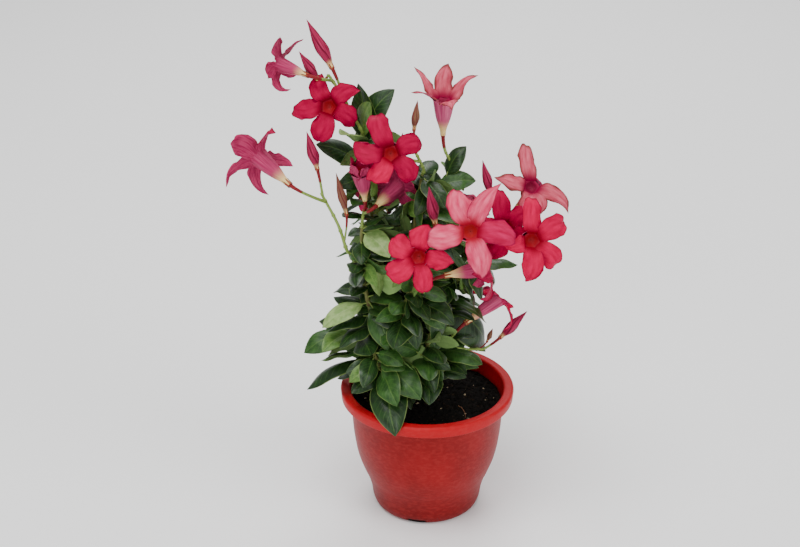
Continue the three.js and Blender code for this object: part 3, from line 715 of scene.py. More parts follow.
# %% Table of the leaf masses
MASSES = {
    "leaves_top_left": {
        "from": "bough_top_left", "tip": (-62, 10, 388), "space": ((-50, 6, 345), (38, 46, 90)),
        "twigs": 2, "pairs": 7, "turn": 70, "leaf": 46, "shoots": [],
        "outer": [
            (0, 0.97, (-32, 15, 430), 55, "deep"), (0, 0.9, (-67, 16, 434), 58, "deep"),
            (0, 0.84, (-84, -14, 368), -60, "deep"), (0, 0.7, (-104, 12, 378), 25, "deep"),
            (0, 0.94, (-55, -8, 428), 60, "fresh"), (0, 0.86, (-80, -22, 402), 20, "pale"),
        ],
    },
    "leaves_left": {
        "from": "bough_left", "tip": (-62, -16, 306), "space": ((-46, -22, 262), (36, 56, 64)),
        "twigs": 2, "pairs": 6, "turn": 40, "leaf": 48, "shoots": [(0.2, (-74, -25, 284))],
        "outer": [
            (0, 0.8, (-41, -46, 250), 0, "pale"), (0, 0.94, (-36, -46, 290), 35, "pale"),
            (0, 0.16, (-92, 0, 234), 20, "deep"), (0, 0.04, (-101, -34, 211), 5, "pale"),
            (0, 0.08, (-36, -52, 194), 40, "mid"),
        ],
    },
    "leaves_centre": {
        "from": "bough_centre", "tip": (-6, -8, 356), "space": ((4, 0, 305), (46, 50, 74)),
        "twigs": 3, "pairs": 7, "turn": 50, "leaf": 48, "shoots": [(0.5, (21, 10, 348))],
        "outer": [
            (1, 0.7, (44, 2, 345), 40, "mid"), (1, 0.6, (2, -24, 362), 60, "mid"),
            (1, 0.9, (34, 12, 376), 55, "deep"), (0, 0.75, (-19, -40, 353), 40, "mid"),
        ],
    },
    "leaves_right": {
        "from": "bough_right", "tip": (52, -14, 272), "space": ((26, -8, 220), (46, 54, 54)),
        "twigs": 3, "pairs": 5, "turn": 80, "leaf": 46, "shoots": [],
        "outer": [
            (0, 0.45, (62, -22, 246), 45, "deep"), (0, 0.3, (8, -50, 199), 50, "deep"),
            (0, 0.85, (85, -10, 267), -5, "mid"), (0, 0.03, (64, 8, 162), 25, "deep"),
        ],
    },
    "leaves_front": {
        "from": "bough_front", "tip": (-8, -48, 284), "space": ((-14, -40, 240), (42, 45, 58)),
        "twigs": 2, "pairs": 5, "turn": 0, "leaf": 48, "shoots": [(0.3, (-8, -60, 262))],
        "outer": [
            (0, 0.05, (-48, -62, 232), 30, "mid"), (0, 0.3, (24, -72, 236), 20, "deep"),
            (0, 0.12, (-10, -66, 204), 20, "deep"),
        ],
    },
    "leaves_back": {
        "from": "bough_back", "tip": (-34, 52, 322), "space": ((-30, 58, 256), (50, 54, 84)),
        "twigs": 3, "pairs": 7, "turn": 20, "leaf": 50, "shoots": [], "outer": [],
    },
    "leaves_back_right": {
        "from": "bough_back_right", "tip": (26, 44, 300), "space": ((14, 52, 250), (46, 54, 80)),
        "twigs": 3, "pairs": 6, "turn": 60, "leaf": 48, "shoots": [], "outer": [],
    },
    "leaves_low_left": {
        "from": 0.3, "tip": (-74, -4, 198), "space": ((-68, -16, 176), (58, 52, 54)),
        "twigs": 1, "pairs": 5, "turn": 0, "leaf": 50, "shoots": [],
        "outer": [
            (0, 0.5, (-119, -20, 137), -30, "deep", 0.3), (0, 0.85, (-120, -22, 178), 10, "mid", 0.26),
            (0, 0.9, (-100, -40, 189), 10, "fresh"), (0, 0.6, (-104, -8, 166), -30, "deep", 0.1),
        ],
    },
    "leaves_low_front": {
        "from": 0.3, "tip": (-52, -44, 190), "space": ((-32, -46, 168), (48, 46, 46)),
        "twigs": 2, "pairs": 5, "turn": 20, "leaf": 52, "shoots": [],
        "outer": [
            (0, 0.85, (-9, -76, 156), 40, "mid"), (0, 0.6, (-34, -92, 127), 0, "deep"),
            (0, 0.97, (-25, -70, 191), 60, "mid"), (0, 0.93, (-59, -78, 171), 30, "deep"),
        ],
    },
    "leaves_low_centre": {
        "from": 0.36, "tip": (2, -34, 204), "space": ((-8, -36, 190), (44, 42, 50)),
        "twigs": 2, "pairs": 5, "turn": 30, "leaf": 48, "shoots": [],
        "outer": [(0, 0.6, (13, -50, 162), 40, "mid"), (0, 0.9, (9, -60, 210), 60, "pale")],
    },
    "leaves_low_right": {
        "from": 0.28, "tip": (12, -16, 178), "space": ((14, -20, 178), (46, 48, 34)),
        "twigs": 1, "pairs": 5, "turn": 0, "leaf": 46, "shoots": [],
        "outer": [
            (0, 0.72, (38, -34, 163), 30, "deep"), (0, 0.6, (1, -66, 148), 20, "deep"),
            (0, 0.8, (28, 20, 176), 0, "deep"),
        ],
    },
    "leaves_low_back": {
        "from": 0.3, "tip": (-38, 50, 188), "space": ((-26, 56, 176), (62, 56, 50)),
        "twigs": 3, "pairs": 5, "turn": 40, "leaf": 50, "shoots": [], "outer": [],
    },
}
print("masses:", len(MASSES))

# %% Skins of the stems
def stem_finish(name, low, high, joint):
    """Skin of a green stem: fibres along it, and a browner joint at its foot."""
    finish = Finish(name, 0.6)
    across, along = finish.chart()
    fibres = finish.streaks(across, along, 9, 14)
    finish.bump(fibres, 0.4, 0.0003)
    skin = finish.blend(fibres, low, high)
    return finish.colour(finish.blend(finish.step(along, 0.16, 0.0), skin, joint))


leader_skin = stem_finish("leader_skin", paint(88, 84, 46), paint(122, 126, 70), paint(84, 64, 44))
twig_skin = stem_finish("twig_skin", paint(92, 112, 52), paint(140, 158, 84), paint(98, 84, 50))
leaders = Heap("leaders", [leader_skin])
twigs = Heap("twigs", [twig_skin])
print("stem heaps:", leaders.name, twigs.name)

# %% Grow the leaders and flowering shoots
LEADER_RADII = (2.1, 1.9, 1.7, 1.5)
LEADER_SUNK = 0.5
SHOOT_RADII = (1.3, 1.1)


def leader_of(mass):
    """Path of a mass's leader, from the tip of its bough or from the foot."""
    if isinstance(mass["from"], str):
        below = bough_paths[mass["from"]]
        heading = below.along(1.0)
        return bend(below.at(1.0) - heading * LEADER_SUNK, heading, np.array(mass["tip"], float))
    return from_foot(mass["from"], mass["tip"])


stems = {}
for seed, (name, mass) in enumerate(MASSES.items()):
    leader = leader_of(mass)
    tube(leaders, leader, LEADER_RADII, 10, 24, relief=furrows(0.03, mass["pairs"], seed))
    stems[name] = [leader]
    for share, tip in mass["shoots"]:
        shoot = bend(leader.at(share), leader.along(share), np.array(tip, float))
        tube(twigs, shoot, SHOOT_RADII, 8, 16, relief=furrows(0.03, 3, seed))
        stems[name].append(shoot)
leaders.piece("bark", *MASSES)

# %% [markdown]
# ## Finishes of the flowers
# A petal is velvety. Fine streaks run from its throat to its edge, its eye is darker, and the rim of an old
# petal turns brown. Painted shade deepens the eye at the throat and darkens the sides and rim of a fresh
# petal, where they curl out of the light. A painted image could show this, but nodes that read the chart
# stay sharp from close by and fit every petal. Fronts, backs, tubes and throats each have their own part of
# the chart.

# %% Petal finishes
INNER, OUTER = (0, 0.5, 0.5, 1), (0.5, 0.5, 1, 1)
TUBE, THROAT, DEEP_SHADE = (0, 0, 0.5, 0.5), (0.5, 0, 0.75, 0.5), (0.75, 0, 1, 0.5)
# A fresh petal's rim is painted shade; the rim of an old petal is brown and starts further in.
FRESH_RIM_SHADE, OLD_RIM = 0.44, 0.32


def petal_front(name, pale, deep, eye, rim, rim_from=FRESH_RIM_SHADE, place=INNER):
    """Front of a petal: fine streaks, a dark eye at the throat and a rim, wider where the petal is old.
    The eye, the sides and the rim of a fresh petal are darkened with painted shade.
    """
    finish = Finish(name, 0.5, gloss=0.04)
    across, along = finish.chart(place)
    streaks = finish.streaks(across, along, 5, 2.4)
    veins = finish.streaks(across, along, 42, 3)
    colour = finish.blend(finish.step(streaks, 0.25, 0.75), deep, pale)
    colour = finish.tinge(finish.step(veins, 0.5, 0.75), 0.15, colour, deep)
    off = finish.away(across, 0.5)
    # Painted shade: the sides of a petal are darker than its middle.
    colour = finish.tinge(finish.step(off, 0.1, 0.5), 0.45, colour, deep)
    # The rim: painted shade on a fresh petal, where its edge curls away, and browning on an old one.
    rim_shade_and_brown = finish.maths("MAXIMUM", finish.step(off, rim_from, 0.5), finish.step(along, rim_from + 0.49, 1.0))
    colour = finish.tinge(rim_shade_and_brown, 0.85, colour, rim)
    # The eye darkens towards the throat, deepened with painted shade.
    colour = finish.blend(finish.step(along, 0.34, 0.02), colour, eye)
    finish.bump(finish.plus(veins, streaks), 0.25, 0.0005)
    return finish.colour(colour)


def petal_back(name, pale, deep):
    """Back of a petal, with paler streaks."""
    finish = Finish(name, 0.55, gloss=0.08)
    across, along = finish.chart(OUTER)
    streaks = finish.streaks(across, along, 18, 2.4)
    finish.bump(streaks, 0.35, 0.0006)
    return finish.colour(finish.blend(finish.step(streaks, 0.32, 0.68), deep, pale))


print("rims start at:", FRESH_RIM_SHADE, OLD_RIM)

# %% Tube and throat finishes
CREAM = paint(236, 206, 136)


def tube_outside(name, pale, deep):
    """Outside of the funnel: cream at its narrow foot, then streaked."""
    finish = Finish(name, 0.5, gloss=0.1)
    across, along = finish.chart(TUBE)
    streaks = finish.streaks(across, along, 30, 2)
    colour = finish.blend(finish.step(streaks, 0.2, 0.8), deep, pale)
    fade = finish.plus(along, finish.times(streaks, 0.24))
    finish.bump(streaks, 0.3, 0.0005)
    return finish.colour(finish.blend(finish.step(fade, 0.62, 0.28), colour, CREAM))


def throat_inside(name, mouth, deep):
    """Inside of the funnel, streaked and darker or warmer towards its end."""
    finish = Finish(name, 0.6)
    across, along = finish.chart(THROAT)
    streaks = finish.streaks(across, along, 40, 2)
    colour = finish.blend(finish.step(along, 0.05, 0.6), mouth, deep)
    finish.bump(streaks, 0.3, 0.0005)
    return finish.colour(finish.tinge(streaks, 0.4, colour, mouth))


print("tube foot:", [round(c, 3) for c in CREAM])

# %% Tints of the flowers
# The last colour of a front row is the rim: painted shade on the fresh tints, brown on the faded one.
TINTS = {
    "red": {
        "front": [(208, 0, 74), (176, 0, 54), (128, 0, 26), (116, 0, 38)],
        "back": [(206, 58, 108), (168, 18, 70)],
        "tube": [(208, 92, 132), (156, 28, 78)],
        "throat": [(138, 2, 30), (150, 14, 26)],
        # A deep row is a darker copy of the front, partly painted shade and partly a deeper colour.
        "deep": [(174, 2, 64), (148, 0, 48), (110, 0, 22), (96, 0, 32)],
    },
    "pink": {
        "front": [(238, 104, 132), (200, 46, 86), (160, 14, 40), (126, 16, 54)],
        "back": [(214, 90, 128), (180, 42, 86)],
        "tube": [(214, 104, 140), (164, 38, 86)],
        "throat": [(146, 6, 36), (164, 24, 28)],
        "deep": [(204, 34, 90), (172, 6, 60), (140, 4, 34), (136, 4, 54)],
    },
    "faded": {
        "front": [(214, 103, 120), (176, 60, 80), (132, 8, 52), (100, 48, 32)],
        "back": [(206, 96, 120), (168, 52, 84)],
        "tube": [(210, 104, 136), (158, 42, 90)],
        "throat": [(146, 8, 62), (116, 6, 44)],
    },
    "mauve": {
        "front": [(184, 30, 80), (144, 6, 48), (150, 14, 36), (110, 4, 40)],
        "back": [(180, 58, 98), (144, 24, 70)],
        "tube": [(184, 66, 106), (142, 28, 72)],
        "throat": [(146, 14, 34), (112, 12, 24)],
    },
}
blooms = {}
for tint, table in TINTS.items():
    shades = {part: [paint(*shade) for shade in row] for part, row in table.items()}
    rim_from = OLD_RIM if tint == "faded" else FRESH_RIM_SHADE
    finishes = [
        petal_front("petal_" + tint, *shades["front"], rim_from),
        petal_back("petal_" + tint + "_back", *shades["back"]),
        tube_outside("tube_" + tint, *shades["tube"]),
        throat_inside("throat_" + tint, *shades["throat"]),
    ]
    if "deep" in shades:
        finishes.append(petal_front("petal_" + tint + "_deep", *shades["deep"], place=DEEP_SHADE))
    blooms[tint] = Heap("blooms_" + tint, finishes)
print("tints:", list(TINTS))

# %% [markdown]
# ## One flower
# A mandevilla flower is a trumpet. A narrow cream tube opens into a funnel, and five broad petals stand round
# its mouth like a pinwheel, each cut slantwise to a point. Sculpting one flower and copying it would make all
# of them alike, so each is built from grids: the funnel outside, the throat inside, and a front and a back
# for each petal. A petal's middle line turns outwards from the funnel and rolls back at the tip, and how far
# it turns is the difference between a fresh and an old flower.

# %% What describes a flower
@dataclass
class Bloom:
    """One flower: the share of the truss's stalk that carries it, its mouth, and the way that it faces.

    Opening and curl are one number, or five where the petals of an old flower fall each its own way. Petals
    are rows of direction, length, width, place of the tip across and sharpness, and without them the rule
    deals them. Deep lists the petals that have the deeper finish, a darker copy of the front that is partly
    painted shade. Narrow is the share of its width that the funnel of an old flower keeps.
    """

    share: float
    mouth: tuple
    azimuth: float
    lift: float
    tint: str
    size: float = 1
    roll: float = 18
    opening: object = 1
    curl: object = 26
    petals: list = None
    deep: tuple = ()
    narrow: float = 1


print("a plain flower:", Bloom(0.8, (0, 0, 0), 0, 20, "red"))

# %% Funnel and throat
PETALS = 5
TUBE_PROFILE = [
    (2.3, -36), (2.5, -33.5), (3.1, -30.5), (4.3, -26.5), (5.8, -22), (7, -17), (8, -11.5), (8.8, -6.4),
    (9.4, -3.4), (9.9, -2),
]
THROAT_PROFILE = [(7.4, -4.6), (6.5, -5.1), (5.6, -5.9), (4.8, -7), (3.6, -8.4), (2, -9.6), (0.4, -10)]
TUBE_LENGTH = 36
PLEATS_FROM = -30
FUNNEL_SIDES = 30
TUBE_PLEATS, THROAT_PLEATS = 0.06, 0.05


class Stance:
    """Turns points made along +Z to a direction. Seen from in front, +X then points right and +Y up."""

    def __init__(self, at, direction, size=1):
        right = unit(np.cross(UP, direction))
        self.turn = np.stack([right, np.cross(direction, right), direction], axis=1) * size
        self.at = np.array(at, float)

    def __call__(self, points):
        return points @ self.turn.T + self.at


def ring_grid(profile, pleats):
    """Rows of a turned shape, pressed into five soft pleats towards its mouth."""
    rows = through([(r, 0, z) for r, z in profile], 3).points
    turn = around(FUNNEL_SIDES)
    depth = pleats * smooth_step(PLEATS_FROM, 0, rows[:, 2])[:, None]
    radius = rows[:, :1] * (1 + depth * np.cos(PETALS * turn))
    return turned(radius, turn, rows[:, 2:])


print("rows of a funnel:", len(ring_grid(TUBE_PROFILE, TUBE_PLEATS)))

# %% Petals
PETAL_REACH = 30
PETAL_WIDTH = 21
PETAL_ROWS, PETAL_COLUMNS = 17, 13
PETAL_ROOT = 5.8
PETAL_DEPTH = -4.6
PETAL_BOW = 0.07
PETAL_STRETCH = 1.07
PETAL_SHAPE = ([0, 0.1, 0.22, 0.36, 0.55, 0.75, 0.9, 1.05], [0.46, 0.66, 0.82, 0.92, 0.99, 1, 0.96, 0.9])
FUNNEL_RISE = math.radians(56)


def petal_grid(direction, long, broad, point, sharp, opening, curl, narrow, key):
    """One petal as a grid. Its middle line turns out of the funnel and rolls back, its end is slanted."""
    s = np.linspace(0, 1, PETAL_ROWS)[:, None]
    t = np.linspace(-1, 1, PETAL_COLUMNS)[None, :]
    # The end is cut back on both sides of its point, more the sharper it is, and its edge is wavy.
    off = np.where(t < point, (point - t) / (1 + point), (t - point) / (1 - point))
    reach = 1 - mix(0.22, 0.57, sharp) * off ** mix(2.4, 1.05, sharp) + 0.05 * np.exp(-((off / 0.14) ** 2))
    reach = reach + 0.018 * np.sin(t * between(5, 9, key, 8, 1) + key)
    spine = s * reach
    # The middle line rises from the funnel, turns to the angle of the opening and then curls.
    flat = math.radians(90 * (1 - opening) + between(-9, 9, key, 1, 1))
    rise = mix(FUNNEL_RISE, flat, smooth_step(0, 0.36, spine))
    rise = rise - math.radians(curl * between(0.7, 1.3, key, 2, 1)) * spine**1.7
    step = np.diff(spine, axis=0, prepend=0) * (long - PETAL_ROOT) * PETAL_STRETCH
    out = PETAL_ROOT * narrow + np.cumsum(np.cos(rise) * step, axis=0)
    up = PETAL_DEPTH + np.cumsum(np.sin(rise) * step, axis=0)
    # The petal is as wide as the funnel at its root, and bows to one side.
    full = mix(PETAL_WIDTH * narrow, broad, smooth_step(0.1, 0.5, spine))
    wide = np.interp(spine, *PETAL_SHAPE) * full / 2
    side = t * wide * (1 + 0.045 * np.sin(s * between(7, 12, key, 9, 1) + t + key))
    side = side + PETAL_BOW * long * np.sin(np.pi * spine)
    # A twist, a frill, a crease along the middle and a drooping point take the sheet out of its plane.
    twist = between(0.16, 0.4, key, 5, 1) * t - between(0.02, 0.34, key, 6, 1) * t**2
    frill = np.sin(s * between(8, 13, key, 4, 1) + t * 2 + key) * 0.17 * np.abs(t) ** 1.6 * s
    crease = 0.7 * np.exp(-((t / 0.14) ** 2)) * np.sin(np.pi * s)
    lift = wide * (twist * smooth_step(0, 0.45, s) + frill) - crease
    lift = lift - 0.14 * long * smooth_step(0.7, 1, s) * np.exp(-((off / 0.4) ** 2))
    out, up = out - np.sin(rise) * lift, up + np.cos(rise) * lift
    c, d = math.cos(math.radians(direction)), math.sin(math.radians(direction))
    return np.stack([out * c - side * d, out * d + side * c, up], axis=-1)


def dealt_petals(bloom, key):
    """Petal rows by the rule, for a flower without its own."""
    rows = []
    for k in range(PETALS):
        direction = bloom.roll + k * 360 / PETALS + between(-8, 8, key, k, 11)
        long = PETAL_REACH * bloom.size * between(0.92, 1.1, key, k, 12)
        broad = PETAL_WIDTH * bloom.size * between(0.88, 1.08, key, k, 13)
        point, sharp = between(-0.3, 0.5, key, k, 14), between(0.05, 0.65, key, k, 15)
        rows.append((direction, long, broad, point, sharp))
    return rows


print("petal rows:", PETAL_ROWS, "columns:", PETAL_COLUMNS)

# %% Put a flower together
PETAL_THICKNESS = 0.45
FRONT, BACK, FUNNEL, INSIDE, DEEP_SHADE_FRONT = range(5)


def normals(grid):
    """Direction that each point of a grid faces."""
    return unit(np.cross(np.gradient(grid, axis=1), np.gradient(grid, axis=0)))


def each(value, petal):
    """A value for one petal, from one number for all or from a row of five."""
    return value[petal] if isinstance(value, tuple) else value


def flower(heap, bloom, key):
    """Adds one flower and returns the points of its funnel and petals."""
    stance = Stance(bloom.mouth, facing(bloom.azimuth, bloom.lift), bloom.size)
    squeeze = (bloom.narrow, bloom.narrow, 1)
    funnel = stance(ring_grid(TUBE_PROFILE, TUBE_PLEATS) * squeeze)
    throat = stance(ring_grid(THROAT_PROFILE, THROAT_PLEATS) * squeeze)
    heap.grid(funnel, FUNNEL, TUBE, closed=True)
    heap.grid(throat, INSIDE, THROAT, closed=True)
    spots = [funnel.reshape(-1, 3)]
    for k, (direction, long, broad, point, sharp) in enumerate(bloom.petals or dealt_petals(bloom, key)):
        long, broad = long / bloom.size, broad / bloom.size
        opening, curl = each(bloom.opening, k), each(bloom.curl, k)
        grid = petal_grid(direction, long, broad, point, sharp, opening, curl, bloom.narrow, key * 7 + k)
        inset = np.ones(grid.shape[:2])
        inset[-1], inset[:, 0], inset[:, -1] = 0, 0, 0
        back = grid + normals(grid) * (PETAL_THICKNESS * inset)[..., None]
        # Petals listed as deep take the darker copy of the front, partly painted shade.
        kind, chart = (DEEP_SHADE_FRONT, DEEP_SHADE) if k in bloom.deep else (FRONT, INNER)
        heap.grid(stance(grid), kind, chart, flip=True)
        heap.grid(stance(back), BACK, OUTER)
        spots.append(stance(grid.reshape(-1, 3)))
    return np.concatenate(spots)


print("kinds of surface in a flower:", DEEP_SHADE_FRONT + 1)

# %% [markdown]
# ## Buds, stalks and calyxes
# A bud is a spindle whose petals are rolled round each other. Here it is one skin with five soft ridges that
# wind along it, which is simpler than five rolled sheets and looks the same from outside. Under every flower
# and bud sits a calyx of five narrow sepals on a dark red stalk, which turns green where it joins the truss.

# %% Bud and stalk finishes
def bud_finish(name, pale, deep, fold):
    """Skin of a bud: fine streaks, a dark fold that winds between its petals, and a cream foot."""
    finish = Finish(name, 0.5, gloss=0.1)
    across, along = finish.chart()
    wound = finish.plus(finish.times(across, PETALS), finish.times(along, 1.6))
    ridge = finish.away(finish.maths("FRACT", wound), 0.5)
    streaks = finish.streaks(across, along, 24, 3)
    skin = finish.blend(finish.step(streaks, 0.3, 0.7), deep, pale)
    skin = finish.blend(finish.step(ridge, 0.36, 0.5), skin, fold)
    fade = finish.plus(along, finish.times(streaks, 0.14))
    finish.bump(streaks, 0.4, 0.0005)
    return finish.colour(finish.blend(finish.step(fade, 0.3, 0.1), skin, CREAM))


def stalk_finish(name, low, high, last, share):
    """Skin of a stalk or a sepal, which turns to its last tint at a share of its length."""
    finish = Finish(name, 0.55)
    across, along = finish.chart()
    fibres = finish.streaks(across, along, 8, 10)
    skin = finish.blend(fibres, low, high)
    finish.bump(fibres, 0.3, 0.0003)
    return finish.colour(finish.blend(finish.step(along, share - 0.08, share + 0.08), skin, last))


print("the folds of a bud:", PETALS)

# %% Buds and calyxes
BUD_PROFILE = [
    (0, 0.34), (0.08, 0.46), (0.18, 0.7), (0.3, 0.93), (0.4, 1), (0.55, 0.87), (0.72, 0.56), (0.87, 0.26),
    (0.96, 0.1), (1, 0.02),
]
BUD_SIDES = 20
BUD_RIDGES = 0.09
SEPAL_LENGTH = 7.5
SEPAL_INSIDE = 0.93


def bud(heap, base, tip, radius):
    """Adds one bud from its base to its tip."""
    length = np.linalg.norm(tip - base)
    rows = through([(w * radius, 0, s * length) for s, w in BUD_PROFILE], 3).points
    turn = around(BUD_SIDES)
    wound = np.cos(PETALS * turn[None, :] + rows[:, 2:] / length * 10)
    ring = rows[:, :1] * (1 + BUD_RIDGES * wound)
    stance = Stance(base, unit(tip - base))
    heap.grid(stance(turned(ring, turn, rows[:, 2:])), closed=True)


def calyx(heap, base, direction, radius):
    """Adds five narrow sepals that hold the foot of a tube or a bud."""
    s = np.linspace(0, 1, 6)[:, None]
    t = np.linspace(-1, 1, 3)[None, :]
    stance = Stance(base, direction)
    for k in range(PETALS):
        turn = k / PETALS * 2 * math.pi + t * 0.42 * (1 - s) ** 0.7
        ring = radius + 0.35 + 0.5 * s**2 - 0.25 * np.abs(t)
        grid = turned(ring, turn, s * SEPAL_LENGTH)
        heap.grid(stance(grid))
        heap.grid(stance(grid * (SEPAL_INSIDE, SEPAL_INSIDE, 1)), flip=True)


print("sepal length:", SEPAL_LENGTH)

# %% Heaps of the trusses
green_skin = stalk_finish("stalk_skin", paint(96, 122, 54), paint(146, 168, 84), paint(146, 168, 84), 1.5)
stalks = Heap("stalks", [green_skin])
red_skin = stalk_finish("red_stalk_skin", paint(112, 132, 62), paint(150, 160, 84), paint(124, 26, 32), 0.12)
red_stalks = Heap("red_stalks", [red_skin])
calyx_skin = stalk_finish("calyx_skin", paint(140, 46, 40), paint(160, 84, 56), paint(110, 30, 34), 0.6)
calyxes = Heap("calyxes", [calyx_skin])
bud_skin = bud_finish("bud_skin", paint(168, 44, 84), paint(118, 14, 46), paint(84, 6, 32))
buds = Heap("buds", [bud_skin])
young_skin = bud_finish("young_bud_skin", paint(122, 90, 64), paint(112, 50, 52), paint(88, 26, 36))
young_buds = Heap("young_buds", [young_skin])
print("bud heaps:", buds.name, young_buds.name)

# %% [markdown]
# ## The trusses
# Flowers and buds stand together on a truss. Each truss has the mass and stem that carry it, the points of
# its stalk, its flowers and its buds. A bud is a share of the stalk, a base, a tip and a radius, and the heap
# of young buds if it is one. In front, the places and petals follow the photograph, one flower at a time.

